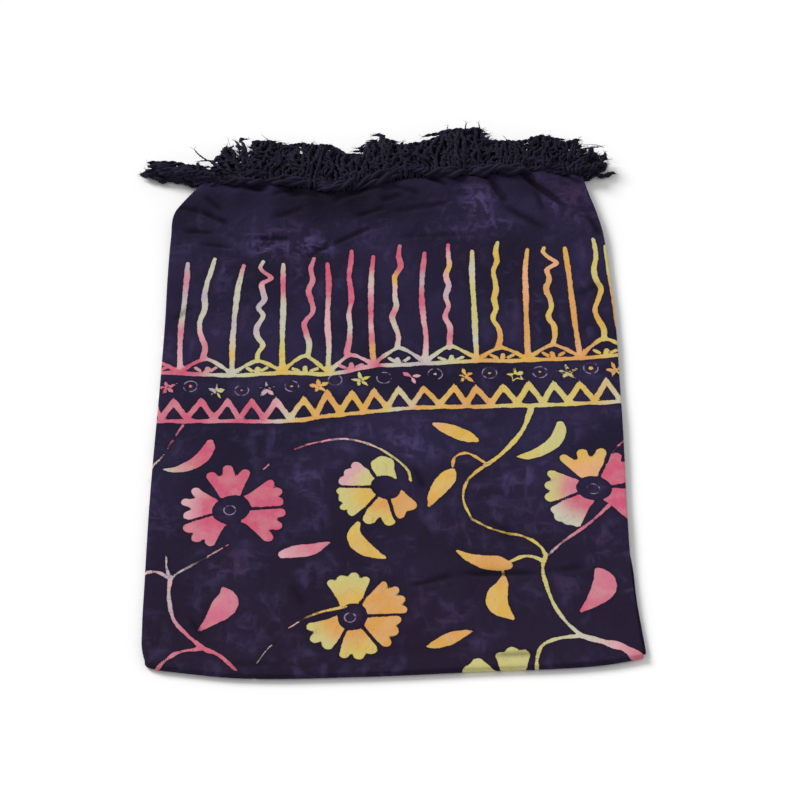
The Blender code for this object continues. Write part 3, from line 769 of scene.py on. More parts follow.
def draw_bars(pattern):
    """The border's long bars, straight or wavy. One of them is broken."""
    kinked = [kink.bar for kink in KINKS]
    for index, bar in enumerate(BARS):
        steps = np.linspace(0.0, 1.0, len(bar.bends))
        x = bar.x0 + steps * (bar.x1 - bar.x0) + np.array(bar.bends)
        y = bar.y0 + steps * (bar.y1 - bar.y0)
        line = smooth_line(np.stack((x, y), axis=-1), BEND_STEPS)
        t = np.linspace(0.0, 1.0, len(line))
        halves = BAR_HALF + BAR_WAVER * np.sin(13.0 * t + 2.0 * index)
        if index not in kinked:
            halves = halves + (BAR_TIP - halves) * (1.0 - smooth_step(t / BAR_TIP_SHARE))
        if index == BROKEN_BAR:
            from_break = np.abs(t - BREAK)
            halves = halves * smooth_step((from_break + 0.01) / 0.05)
            halves = np.where(from_break < BREAK_HALF, -2.0, halves)
        pattern.stroke(line, halves, dye_along(bar.dyes, len(line)))
    for kink in KINKS:
        bar = BARS[kink.bar]
        line = smooth_line([(bar.x0 + dx, bar.y0 + dy) for dx, dy in kink.points], BEND_STEPS)
        halves = np.linspace(BAR_TIP, BAR_HALF, len(line))
        pattern.stroke(line, halves, dye_along(kink.dyes, len(line)))


def draw_arches(pattern):
    """A line with a row of arches on it, each with a small fan of leaves."""
    line = smooth_line(ARCH_LINE, 5)
    wobble = 0.5 * np.sin(0.21 * line[:, 0])
    pattern.stroke(line, ARCH_LINE_HALF + wobble, dye_at(ARCH_STOPS, line[:, 0]))
    xs = [point.x for point in ARCH_LINE]
    ys = [point.y for point in ARCH_LINE]
    for arch in ARCHES:
        t = np.linspace(0.0, 1.0, ARCH_STEPS + 1)
        x = arch.left + t * (arch.right - arch.left)
        foot = np.interp(x, xs, ys)
        middle = (arch.left + arch.right) / 2.0
        rise = arch.top - np.interp(middle, xs, ys)
        y = foot + 2.0 + (rise - 2.0) * (1.0 - np.abs(2.0 * t - 1.0) ** ARCH_BEND)
        curve = np.stack((x, y), axis=-1)
        halves = ARCH_HALF + 0.5 * np.cos(0.3 * x)
        pattern.stroke(curve, halves, dye_at(ARCH_STOPS, x))
        root = np.array((middle, np.interp(middle, xs, ys)))
        dye = dye_at(ARCH_STOPS, np.array((middle, middle)))
        stem = np.array((root, root + (2.0 * math.sin(middle), FAN_STEM)))
        pattern.blade(stem, (FAN_STEM_HALF, FAN_STEM_HALF - 0.6), dye)
        for angle in FAN_ANGLES:
            angle = math.radians(angle + 9.0 * math.sin(1.3 * middle + angle))
            aim = toward(angle)
            start = root + FAN_START * aim
            fan = np.array((start, start + FAN_LENGTH * aim))
            pattern.blade(fan, (FAN_HALF, FAN_HALF), dye)


def draw_zigzag(pattern):
    """A zigzag with pointed peaks over a line."""
    base = smooth_line(ZIGZAG_LINE, 6)
    wobble = 0.6 * np.sin(0.17 * base[:, 0])
    pattern.stroke(base, ZIGZAG_LINE_HALF + wobble, dye_at(ZIGZAG_STOPS, base[:, 0] + 8.0))
    corners = []
    for peak, following in zip(ZIGZAG, ZIGZAG[1:]):
        valley_x = (peak.x + following.x) / 2.0
        valley_y = np.interp(valley_x, base[:, 0], base[:, 1]) + VALLEY_RISE
        corners += [(peak.x, peak.y - 3.0), (valley_x, valley_y)]
    line = np.array(corners, dtype=float)
    halves = ZIGZAG_HALF + 0.5 * np.sin(0.4 * line[:, 0])
    pattern.stroke(line, halves, dye_at(ZIGZAG_STOPS, line[:, 0]))
    for peak in ZIGZAG:
        point = np.array(((peak.x, peak.y - 3.5), (peak.x, peak.y + PEAK_RISE)))
        pattern.blade(point, (ZIGZAG_HALF, 0.5), dye_at(ZIGZAG_STOPS, point[:, 0]))


def draw_stars(pattern):
    """Five-pointed stars of leaves, some with an outline."""
    for star in STARS:
        middle = np.array((star.x, star.y), dtype=float)
        outline = []
        for point, half in enumerate(star.leaves):
            angle = math.radians(90.0 + star.turn + 72.0 * point)
            aim = toward(angle)
            waist = STAR_WAIST * toward(angle + math.radians(36.0))
            outline += [middle + STAR_REACH * aim, middle + waist]
            if half:
                reach = STAR_REACH * (1.0 - 0.14 * math.sin(1.7 * star.x + 2.0 * point))
                ways = (STAR_HOLE, 0.55 * reach, reach)
                leaf = np.array([middle + way * aim for way in ways])
                dye = DYES[star.dyes[0 if point < 3 else 1]]
                pattern.blade(leaf, (0.5 * half, half, 0.4), (dye, dye, dye))
        if star.outline:
            closed = np.array(outline + outline[:1])
            colours = np.tile(DYES[star.dyes[0]], (len(closed), 1))
            pattern.stroke(closed, np.full(len(closed), STAR_LINE), colours)


def draw_flowers(pattern, front):
    """The flowers. Without front, those near the front fold are left out."""
    for flower in FLOWERS:
        if not front and (flower.y < FRONT_MOTIFS or flower.name == "front"):
            continue
        petals = [petal for petal in PETALS if petal.flower == flower.name]
        pattern.flower(flower, petals)


def draw_plants(pattern, front):
    """The leaves, without front only those away from the fold, and the vines."""
    for leaf in LEAVES:
        if not front and min(y for _, y, _ in leaf.points) < FRONT_MOTIFS:
            continue
        rows = smooth_line(leaf.points, 5)
        colours = dye_along(leaf.dyes + leaf.dyes[1], len(rows))
        pattern.blade(rows[:, :2], rows[:, 2], colours)
    for vine in VINES:
        line = smooth_line(vine.points, VINE_STEPS)
        halves = np.linspace(vine.start, vine.end, len(line))
        halves = halves * (VINE_THIN + 0.15 * np.sin(0.9 * np.arange(len(line))))
        pattern.stroke(line, halves, dye_along(vine.dyes, len(line)))


def draw_pattern(x, y, front=True):
    """The border with its bars, arches, stars and zigzag, and the flower field."""
    pattern = Pattern(x, y)
    draw_bars(pattern)
    draw_arches(pattern)
    draw_zigzag(pattern)
    draw_stars(pattern)
    for ring in RINGS:
        pattern.circle(ring)
    draw_flowers(pattern, front)
    draw_plants(pattern, front)
    return pattern


# The pattern's distances in mm, which the material reads at each point
PATTERN_FIELDS = ("wax", "side", "half", "off", "ring", "dot", "near")


def sheet_pattern(x, y):
    """The pattern of a whole sheet: the under layer repeats the top's, mirrored."""
    pattern = draw_pattern(x, y)
    under = np.flatnonzero(y < UNDER_FROM)
    below = draw_pattern(UNDER_SHIFT - x[under], UNDER_MIRROR - y[under], front=False)
    from_below = below.near < pattern.near[under]
    chosen = under[from_below]
    for name in PATTERN_FIELDS + ("run", "dye"):
        getattr(pattern, name)[chosen] = getattr(below, name)[from_below]
    return pattern


def grid_mesh(name, columns):
    """A sheet of quads through columns of points, facing outwards."""
    points = np.array(columns)
    across, along = points.shape[:2]
    index = np.arange(across * along).reshape(across, along)
    corners = (index[:-1, :-1], index[:-1, 1:], index[1:, 1:], index[1:, :-1])
    faces = np.stack([corner.ravel() for corner in corners], axis=-1)
    mesh = bpy.data.meshes.new(name)
    mesh.from_pydata(points.reshape(-1, 3).tolist(), [], faces.tolist())
    mesh.shade_smooth()
    return mesh


def add_object(name, data):
    thing = bpy.data.objects.new(name, data)
    bpy.context.scene.collection.objects.link(thing)
    return thing


def set_layer(mesh, name, values):
    """Keep a number or a vector for each point of a mesh."""
    values = np.asarray(values, dtype=np.float32)
    kind, field = ("FLOAT", "value") if values.ndim == 1 else ("FLOAT_VECTOR", "vector")
    mesh.attributes.new(name, kind, "POINT").data.foreach_set(field, values.ravel())


def make_sheet(name, columns, column_points, with_pattern):
    """A sheet through columns of points, with the pattern's values at each point."""
    points, flat = zip(*[column_points(column) for column in columns])
    mesh = grid_mesh(name, points)
    flat = np.array(flat).reshape(-1, 2)
    place = np.concatenate((flat, np.zeros((len(flat), 1))), axis=1)
    set_layer(mesh, "place", place)
    pattern = sheet_pattern(flat[:, 0], flat[:, 1]) if with_pattern else Pattern(*flat.T)
    for field in PATTERN_FIELDS:
        set_layer(mesh, field, np.clip(getattr(pattern, field), -FAR, FAR))
    set_layer(mesh, "run", pattern.run)
    set_layer(mesh, "dye", pattern.dye)
    # Painted shade for the fine creases' troughs, which the material darkens
    fold = crease_drop(flat[:, 0] * MM, flat[:, 1] * MM, FINE_CREASES, 0.0) / FOLD_SHADE
    set_layer(mesh, "fold", np.clip(fold, 0.0, 1.0) * with_pattern)
    # The washes, with painted shade where a row's share is negative
    set_layer(mesh, "wash", wash_and_shade_at(flat[:, 0], flat[:, 1]) * with_pattern)
    return add_object(name, mesh)


class Nodes:
    """Short ways to build a material's nodes."""

    def __init__(self, name):
        self.material = bpy.data.materials.new(name)
        self.material.use_nodes = True
        self.tree = self.material.node_tree
        self.shader = self.tree.nodes["Principled BSDF"]

    def put(self, socket, value):
        if isinstance(value, bpy.types.NodeSocket):
            self.tree.links.new(value, socket)
        else:
            socket.default_value = value

    def finish(self, constants):
        """Set the shader's own constant values."""
        for name, value in constants.items():
            self.shader.inputs[name].default_value = value

    def node(self, kind, settings, *values, **inputs):
        """A node with its settings, its first inputs in order and others by name."""
        made = self.tree.nodes.new(kind)
        for key, value in settings.items():
            setattr(made, key, value)
        for socket, value in zip(made.inputs, values):
            self.put(socket, value)
        for key, value in inputs.items():
            self.put(made.inputs[key.replace("_", " ")], value)
        return made

    def math(self, operation, a, b=0.0):
        return self.node("ShaderNodeMath", {"operation": operation}, a, b).outputs[0]

    plus = partialmethod(math, "ADD")
    less = partialmethod(math, "SUBTRACT")
    times = partialmethod(math, "MULTIPLY")
    least = partialmethod(math, "MINIMUM")
    most = partialmethod(math, "MAXIMUM")

    def attribute(self, name, output="Fac"):
        return self.node("ShaderNodeAttribute", {"attribute_name": name}).outputs[output]

    def noise(self, vector, scale, detail=3.0, roughness=0.5, distortion=0.0):
        made = self.node("ShaderNodeTexNoise", {}, Vector=vector, Scale=scale, Detail=detail,
                         Roughness=roughness, Distortion=distortion)
        return made.outputs["Fac"]

    def ease(self, value, low, high, start=0.0, end=1.0):
        """start to end as value goes from low to high."""
        made = self.node("ShaderNodeMapRange", {"interpolation_type": "SMOOTHSTEP"},
                         value, low, high, start, end)
        return made.outputs[0]

    def edges(self, kind, **inputs):
        """The distance to the edges of a cell pattern."""
        settings = {"feature": "DISTANCE_TO_EDGE", "voronoi_dimensions": kind}
        return self.node("ShaderNodeTexVoronoi", settings, Scale=1.0, **inputs).outputs["Distance"]

    def blend(self, share, first, second, mode="MIX"):
        made = self.node("ShaderNodeMix", {"data_type": "RGBA", "blend_type": mode})
        colours = [socket for socket in made.inputs if socket.type == "RGBA"]
        self.put(made.inputs[0], share)
        self.put(colours[0], first)
        self.put(colours[1], second)
        return [socket for socket in made.outputs if socket.type == "RGBA"][0]

    def scaled(self, vector, x, y, z=1.0):
        made = self.node("ShaderNodeVectorMath", {"operation": "MULTIPLY"}, vector, (x, y, z))
        return made.outputs[0]

    def bump(self, height, strength, distance):
        made = self.node("ShaderNodeBump", {}, Height=height, Strength=strength, Distance=distance)
        self.put(self.shader.inputs["Normal"], made.outputs["Normal"])


# Ground colours of the cloth, as sRGB, painted shade for its creases and dark patches, and its finish
GROUND_DEEP = (31, 25, 45)
GROUND_MID = (42, 35, 63)
GROUND_LOW = (37, 27, 45)
GROUND_CLOUD = (74, 64, 106)
# Painted shade, mostly just in front of the fringe
GROUND_PAINTED_SHADE = (20, 17, 30)
GROUND_WARM = (62, 41, 68)
GROUND_RIM = (20, 15, 26)
GLINT = (104, 94, 138)
# Painted shade for the creases' troughs
FOLD_PAINTED_SHADE = (12, 9, 17)
FOLD_SHADE_SHARE = 0.72            # of that painted shade in a deep trough
CRACK_TINT = (92, 70, 92)
RING_TINT = (158, 142, 166)
LARGE_WOBBLE = 2.4           # mm by which outlines wander, from end to end
SMALL_WOBBLE = 1.3
RING_HALF = 0.25             # mm
STROKE_SLACK = 1.9           # mm, less half a stroke's width: how far off may be out
LEAST_SLACK = 0.2
EDGE_SOFT = 0.45             # mm over which the wax edge fades


def rgba(colour):
    return (*linear(colour), 1.0)


def wax_shapes(n, half, wobble):
    """Signed distances in mm to the nearest stroke and to the nearest waxed area."""
    stroke = n.less(n.math("ABSOLUTE", n.attribute("side")), half)
    slack = n.most(n.less(STROKE_SLACK, half), LEAST_SLACK)
    stroke = n.plus(n.most(stroke, n.less(n.attribute("off"), slack)), wobble)
    wax = n.plus(n.least(n.attribute("wax"), n.attribute("dot")), wobble)
    return stroke, wax


def wax_light(n, place, half, stroke, wax):
    """Where the dye shows: thin strokes are worn away in places."""
    worn = n.most(n.ease(half, 0.6, 2.0), n.ease(n.noise(place, 0.07), 0.42, 0.52))
    drawn = n.times(n.ease(stroke, -EDGE_SOFT, EDGE_SOFT, 1.0, 0.0), worn)
    return n.most(n.ease(wax, -EDGE_SOFT, EDGE_SOFT, 1.0, 0.0), drawn)


def crackle(n, place, half):
    """Fine cracks of the wax, ticks across the strokes and pin dots."""
    cracks = n.edges("3D", Vector=n.scaled(place, 0.060, 0.045))
    crack_here = n.ease(n.noise(place, 0.03, 1.0), 0.54, 0.64)
    ticks = n.edges("1D", W=n.times(n.attribute("run"), 0.07))
    tick = n.times(n.ease(ticks, 0.012, 0.040, 1.0, 0.0), n.math("LESS_THAN", n.attribute("off"), 0.5))
    tick = n.times(tick, n.ease(n.noise(place, 0.021, 1.0), 0.45, 0.55, 0.1, 0.75))
    tick = n.times(tick, n.ease(half, 2.4, 3.0, 1.0, 0.25))
    crack = n.most(n.times(n.ease(cracks, 0.004, 0.014, 0.5, 0.0), crack_here), tick)
    speck = n.ease(n.noise(place, 0.42, 1.0), 0.74, 0.77)
    return n.most(n.times(crack, 0.75), n.times(speck, 0.8))


def dyed_colour(n, place, half):
    """The light dyes, a little patchy, streaked and grained, with the crackle."""
    patchy = n.ease(n.noise(place, 0.045, 3.0, 0.6), 0.38, 0.68)
    pale = n.blend(n.times(patchy, 0.18), n.attribute("dye", "Vector"), rgba(SRGB[CREAM]))
    streak = n.noise(n.scaled(place, 0.25, 0.05), 1.0, 3.0)
    pale = n.blend(n.ease(streak, 0.55, 0.8, 0.0, 0.30), pale, rgba(SRGB[BLUSH]), "MULTIPLY")
    grain = n.ease(n.noise(place, 1.4, 2.0), 0.2, 0.8, 0.78, 0.91)
    grey = n.node("ShaderNodeCombineColor", {}, grain, grain, grain).outputs[0]
    pale = n.blend(1.0, pale, grey, "MULTIPLY")
    return n.blend(crackle(n, place, half), pale, rgba(CRACK_TINT))


def ground_colour(n, place, forward, shape):
    """The dark ground: brushed clouds, painted shade in front of the fringe and other dark patches, warm
    patches, and a rim by the wax.
    """
    upright = n.noise(n.scaled(place, 0.068, 0.034), 1.0, 3.0, 0.55, 0.5)
    across = n.noise(n.scaled(place, 0.032, 0.062), 1.0, 3.0, 0.55, 0.5)
    strokes = n.most(n.ease(upright, 0.44, 0.68), n.ease(across, 0.48, 0.70))
    patches = n.ease(n.noise(place, 0.013, 3.0, 0.6), 0.42, 0.68, 0.0, 0.7)
    # Less cloud where painted shade darkens the ground
    washed_less_shade = n.most(n.plus(patches, n.attribute("wash")), 0.0)
    clear = n.ease(n.attribute("near"), 2.0, 15.0, 0.20, 1.0)
    cloud = n.times(n.least(n.times(strokes, washed_less_shade), 1.0), clear)
    broad = n.ease(n.noise(place, 0.007, 2.0), 0.32, 0.68)
    warm = n.ease(n.noise(place, 0.013, 3.0), 0.50, 0.70, 0.0, 0.9)
    ground = n.blend(broad, rgba(GROUND_DEEP), rgba(GROUND_MID))
    ground = n.blend(n.ease(forward, -40.0, -360.0, 0.0, 0.8), ground, rgba(GROUND_LOW))
    # Painted shade where a washes row has a negative share, mostly just in front of the fringe
    painted_shade = n.ease(n.attribute("wash"), 0.0, -1.0, 0.0, 0.75)
    ground = n.blend(painted_shade, ground, rgba(GROUND_PAINTED_SHADE))
    ground = n.blend(cloud, ground, n.blend(warm, rgba(GROUND_CLOUD), rgba(GROUND_WARM)))
    glint = n.ease(n.noise(place, 0.16, 3.0, 0.65), 0.60, 0.76)
    glint = n.times(glint, n.ease(n.times(washed_less_shade, clear), 0.5, 1.3))
    ground = n.blend(glint, ground, rgba(GLINT))
    return n.blend(n.ease(shape, 0.5, 3.5, 0.35, 0.0), ground, rgba(GROUND_RIM))


def ring_share(n, place, wobble):
    """How much the thin, broken line of a ring covers."""
    line = n.less(n.math("ABSOLUTE", n.attribute("ring")), RING_HALF)
    ring = n.ease(n.plus(line, n.times(wobble, 0.6)), 0.1, 0.8, 0.80, 0.0)
    return n.times(ring, n.ease(n.noise(place, 0.12, 1.0), 0.40, 0.60))


def batik_material():
    """The dyed cloth: ground, rings, wax shapes, painted shade in the folds, crumple and weave."""
    n = Nodes("batik_cloth")
    place = n.attribute("place", "Vector")
    forward = n.node("ShaderNodeSeparateXYZ", {}, place).outputs["Y"]
    half = n.attribute("half")
    wobble_large = n.times(n.less(n.noise(place, 0.11, 2.0), 0.5), LARGE_WOBBLE)
    wobble_small = n.times(n.less(n.noise(place, 0.55, 2.0), 0.5), SMALL_WOBBLE)
    stroke, wax = wax_shapes(n, half, n.plus(wobble_large, wobble_small))
    ground = ground_colour(n, place, forward, n.least(wax, stroke))
    ground = n.blend(ring_share(n, place, wobble_small), ground, rgba(RING_TINT))
    light = wax_light(n, place, half, stroke, wax)
    colour = n.blend(light, ground, dyed_colour(n, place, half))
    # Painted shade, darkest in the creases' troughs
    colour = n.blend(n.times(n.attribute("fold"), FOLD_SHADE_SHARE), colour, rgba(FOLD_PAINTED_SHADE))
    n.put(n.shader.inputs["Base Color"], colour)
    n.put(n.shader.inputs["Roughness"], n.ease(n.noise(place, 0.2, 2.0), 0.3, 0.7, 0.72, 0.86))
    n.finish({"Specular IOR Level": 0.04, "Sheen Weight": 0.01, "Sheen Roughness": 0.45})
    crumple = n.noise(n.scaled(place, 0.060, 0.050), 1.0, 4.0, 0.55, 0.6)
    crumple = n.times(crumple, n.ease(forward, 120.0, 330.0, 0.7, 1.6))
    weave = n.node("ShaderNodeTexChecker", {}, Vector=place, Scale=1.3).outputs["Fac"]
    n.bump(n.plus(crumple, n.times(weave, 0.018)), 0.7, 0.0020)
    return n.material


# How the fringe lies, from left to right. share is the place across a layer,
# aim is in degrees to the right of straight back, turn is the share of a
# tassel's length in which it turns to its aim, and hook is how many of the
# bundles bend to the right at the outline.
LAYS = table("share aim length turn lift size hook", (
    (0, -74, 1.14, 0.06, 0.003, 1.35, 0), (0.035, -70, 1.2, 0.08, 0.004, 1.35, 0),
    (0.07, -62, 1.14, 0.12, 0.004, 1.2, 0.2), (0.095, -28, 1.16, 0.26, 0.0045, 1.05, 0.9),
    (0.15, -14, 1.26, 0.38, 0.005, 1, 0.9), (0.26, -4, 1.36, 0.42, 0.0055, 1, 0.6),
    (0.36, 4, 1.3, 0.45, 0.005, 1, 0.5), (0.46, 8, 1.24, 0.45, 0.0045, 1, 0.4),
    (0.55, 2, 1.26, 0.42, 0.0045, 1, 0.5), (0.64, 8, 1.4, 0.45, 0.0065, 1, 0.5),
    (0.72, 4, 1.44, 0.45, 0.007, 1, 0.1), (0.76, 4, 1.28, 0.45, 0.006, 1, 0.5),
    (0.82, 6, 1.28, 0.42, 0.0055, 1, 0.6), (0.9, 20, 1.12, 0.36, 0.0045, 1, 0.8),
    (0.96, 46, 0.86, 0.2, 0.0035, 1.1, 0.9), (1, 74, 0.62, 0.1, 0.0025, 1.2, 0.9),
))
ROWS = table("node edge lay rise seed", (
    ("fringe_under", 0.001, 0.003, 0.3, 11), ("fringe_inner_low", 0.0046, 0.0062, 0.4, 12),
    ("fringe_inner_high", 0.0082, 0.01, 0.6, 13), ("fringe_top", None, 0.0138, 1, 14),
))

# The outline of the fringe's mass, which its tassels bend to follow
CROWN = table("x y", (
    (-330, 428), (-216, 424), (-206, 453), (-163, 454), (-136, 450), (-120, 440), (-108, 451), (-88, 450),
    (-54, 436), (-36, 417), (-26, 418), (-17, 450), (2, 459), (18, 444), (36, 439), (54, 446), (71, 442),
    (80, 456), (96, 463), (116, 469), (136, 472), (146, 452), (164, 444), (184, 441), (208, 449),
    (229, 452), (240, 444), (268, 450), (292, 438), (312, 414),
), 2)
CROWN_TURN = 0.012       # a tassel bends this close to the outline
CROWN_BEND = math.radians(95.0)

# Twisted tassels, in metres
TASSELS = 104            # to a row
BUNDLE = 4               # neighbours that lie alike
PLY_RADIUS = 0.00165
PLY_OFFSET = 0.00130
TWIST_PITCH = 0.0180
PLY_SIDES = 5
THICK_SIDES = 7
THICK_SIZE = 1.4         # a tassel above this size has that many
PLY_TONE = 0.15          # between a tassel's two plies
STEP = 0.0029
ROOT_OVERLAP = 0.0012
HAIR_RADIUS = 0.00018
HAIR_STEPS = 4
HAIR_LENGTHS = (0.003, 0.008)
SWAY_KINK = 0.65         # radians
SWAY_LEAN = math.radians(8.0)
SWAY_OVER = 0.0022       # how far bundles pass the outline, or stop short of it
OWN_KINK = 0.40          # radians
AIM_SPREAD = 5.0         # degrees, within a bundle
LENGTH_SPREAD = (0.90, 1.03)
LIFT_SPREAD = (-0.0010, 0.0020)
LUMP_HEIGHT = 0.0014
TUFTS = 130              # short ends that lie over the rest, turned anyhow
TUFT_INSIDE = 0.0110
TUFT_RISE = 0.0085
TUFT_REACH = 0.85        # share of a tassel's length
TUFT_LENGTHS = (0.010, 0.018)
TUFT_SIZES = (0.7, 1.1)

# Bundles that lie sideways along the top layer's edge, as one ropey band.
# off0 and off1 are how far back from the edge they lie.
BANDS = table("x0 x1 off0 off1 lift size count", (
    (-246, -196, 0, 6, 15, 1.2, 3), (-210, -150, 8, 2, 18.5, 1.8, 2), (-196, -140, 16, 14, 19, 1.4, 3),
    (-154, -86, 4, 10, 19, 1.9, 2), (-130, -60, 18, 12, 19, 1.3, 3), (-90, -22, 6, 16, 19, 1.8, 2),
    (-66, -4, 22, 16, 18.5, 1.2, 3), (-36, 30, 2, 10, 19, 1.8, 2), (0, 70, 18, 12, 19, 1.3, 3),
    (60, 118, 2, 4, 19.5, 1.9, 2), (84, 150, 16, 10, 19.5, 1.4, 3), (112, 166, 4, 10, 20, 1.9, 2),
    (146, 196, 6, -4, 20, 2, 2), (160, 236, 18, 10, 19, 1.3, 3), (188, 268, 0, 2, 16.5, 1.2, 2),
), 5)

BAND_SHIFT = 0.006       # how far a tassel of it starts to the left or right
BAND_SPREAD = 0.0040     # back or forward
BAND_UNEVEN = 0.0018     # and up or down
BAND_WAVE = 0.0025
BAND_SINK = 0.0005       # of its ends into the layer

# Loose ends that curl out of the mass, thick and thin: heading and curl in degrees
Curl = namedtuple("Curl", "x y z length heading curl size")
CURLS = table(Curl._fields, (
    (-240, 392, 10, 76, -66, -14, 1.4), (-240, 398, 12, 66, -60, -34, 1.2),
    (-232, 400, 12, 40, -52, -60, 0.8), (-226, 404, 12, 44, -56, -210, 0.55),
    (-216, 408, 14, 46, -78, 50, 0.45), (-204, 412, 12, 40, -70, -30, 0.4),
    (-202, 444, 12, 18, -24, 20, 0.12), (-194, 446, 12, 14, 6, -60, 0.12),
    (-162, 446, 12, 14, 14, 50, 0.12), (-122, 432, 11, 52, -58, 16, 0.14),
    (-74, 430, 11, 30, 56, 110, 0.28), (-64, 426, 11, 30, 44, 120, 0.22),
    (-6, 440, 12, 38, -36, -180, 0.42), (-14, 440, 12, 12, -60, -70, 0.25),
    (92, 458, 12, 18, -12, 30, 0.25), (118, 462, 12, 20, -14, 30, 0.4), (136, 462, 12, 20, 10, -20, 0.4),
    (172, 436, 12, 16, 30, -60, 0.3), (266, 440, 11, 16, 10, 40, 0.14), (276, 436, 11, 30, 70, 60, 0.14),
    (282, 430, 11, 24, 40, 90, 0.14), (262, 420, 11, 38, 52, 40, 0.4), (268, 396, 11, 34, 78, -20, 0.75),
), 4)


def axes_along(path):
    """Unit vectors at each point of a path: along it, level beside it, and above."""
    run = np.gradient(path, axis=0)
    run /= np.maximum(np.linalg.norm(run, axis=1, keepdims=True), 1e-9)
    side = np.cross(run, (0.0, 0.0, 1.0))
    side /= np.maximum(np.linalg.norm(side, axis=1, keepdims=True), 1e-6)
    return run, side, np.cross(side, run)


class Yarn:
    """Gathers the points, faces and tones of many twisted strands for one mesh."""

    def __init__(self, seed):
        self.random = np.random.default_rng(seed)
        self.points = []
        self.faces = []
        self.tones = []
        self.count = 0

    def add_tube(self, rings, tone):
        """rings is steps x sides x 3."""
        steps, sides = rings.shape[:2]
        index = self.count + np.arange(steps * sides).reshape(steps, sides)
        turned = np.roll(index, -1, axis=1)
        quads = np.stack((index[:-1], turned[:-1], turned[1:], index[1:]), axis=-1)
        self.faces.extend(quads.reshape(-1, 4).tolist())
        self.faces.append(index[0][::-1].tolist())
        self.faces.append(index[-1].tolist())
        self.points.append(rings.reshape(-1, 3))
        self.tones.append(np.full(steps * sides, tone))
        self.count += steps * sides

    def tube(self, path, radii, sides, tone):
        """A round tube of varying radius along a path."""
        _, side, up = axes_along(path)
        angles = 2.0 * math.pi * np.arange(sides) / sides
        ring = side[:, None] * np.cos(angles)[:, None] + up[:, None] * np.sin(angles)[:, None]
        self.add_tube(path[:, None] + radii[:, None, None] * ring, tone)

    def tassel(self, path, size=1.0, frayed=2, fuzz=0, glow=0.0, taper=0.10):
        """Two plies twisted round each other, with a frayed end and some fuzz."""
        steps = np.linalg.norm(np.diff(path, axis=0), axis=1)
        way = np.concatenate(([0.0], np.cumsum(steps)))
        run, side, up = axes_along(path)
        tone = glow + self.random.uniform(0.0, 1.0)
        start = self.random.uniform(0.0, 2.0 * math.pi)
        share = way / way[-1]
        swell = size * (0.85 + 0.3 * np.sin(5.0 * share + start) ** 2)
        swell = swell * (0.4 + 0.6 * smooth_step((1.0 - share) / taper))
        swell = swell * (0.4 + 0.6 * smooth_step(share / taper))
        lowest = (PLY_OFFSET + PLY_RADIUS) * swell
        path = np.column_stack((path[:, :2], np.maximum(path[:, 2], lowest)))
        sides = THICK_SIDES if size > THICK_SIZE else PLY_SIDES
        for ply in range(2):
            pitch = TWIST_PITCH * (0.4 + 0.6 * size * size)
            turn = start + ply * math.pi + 2.0 * math.pi * way / pitch
            offset = side * np.cos(turn)[:, None] + up * np.sin(turn)[:, None]
            centre = path + offset * (PLY_OFFSET * swell)[:, None]
            self.tube(centre, PLY_RADIUS * swell, sides, tone + PLY_TONE * ply)
        for _ in range(frayed):
            self.hair(path[-1], run[-1], tone, 0.55)
        for _ in range(fuzz):
            root = self.random.integers(len(path) // 3, len(path))
            self.hair(path[root], run[root], tone, 1.1)

    def hair(self, root, aim, tone, spread):
        """A single curled fibre from a point, roughly along an aim."""
        heading = math.atan2(aim[0], aim[1]) + self.random.normal(0.0, spread)
        curl = self.random.normal(0.0, 0.9)
        length = self.random.uniform(*HAIR_LENGTHS)
        rise = self.random.uniform(-0.25, 0.45)
        place = np.array(root, dtype=float)
        path = [place.copy()]
        for _ in range(HAIR_STEPS):
            heading += curl / HAIR_STEPS
            step = length / HAIR_STEPS
            place += (math.sin(heading) * step, math.cos(heading) * step, rise * step)
            place[2] = max(place[2], 2.0 * HAIR_RADIUS)
            path.append(place.copy())
        radii = HAIR_RADIUS * np.linspace(1.4, 0.4, HAIR_STEPS + 1)
        self.tube(np.array(path), radii, 3, tone)

    def build(self, name):
        mesh = bpy.data.meshes.new(name)
        mesh.from_pydata(np.concatenate(self.points).tolist(), [], self.faces)
        mesh.shade_smooth()
        set_layer(mesh, "tone", np.concatenate(self.tones))
        return add_object(name, mesh)


# How one bundle of tassels strays from the way that the fringe lies
Sway = namedtuple("Sway", "lean kink ripple lift length hook margin over")
SWAY_LIFTS = (-0.0010, 0.0050)
SWAY_LENGTHS = (0.84, 1.06)


def lay_at(share, column):
    return table_curve(LAYS, "share", column, share)


def new_sway(share, random):
    return Sway(
        lean=random.normal(0.0, SWAY_LEAN),
        kink=random.normal(0.0, SWAY_KINK),
        ripple=random.uniform(0.0, 2.0 * math.pi),
        lift=random.uniform(*SWAY_LIFTS),
        length=random.uniform(*SWAY_LENGTHS),
        hook=1.0 if random.uniform() < lay_at(share, "hook") else -1.0,
        margin=CROWN_TURN * random.uniform(0.4, 1.2),
        over=random.normal(0.0, SWAY_OVER),
    )


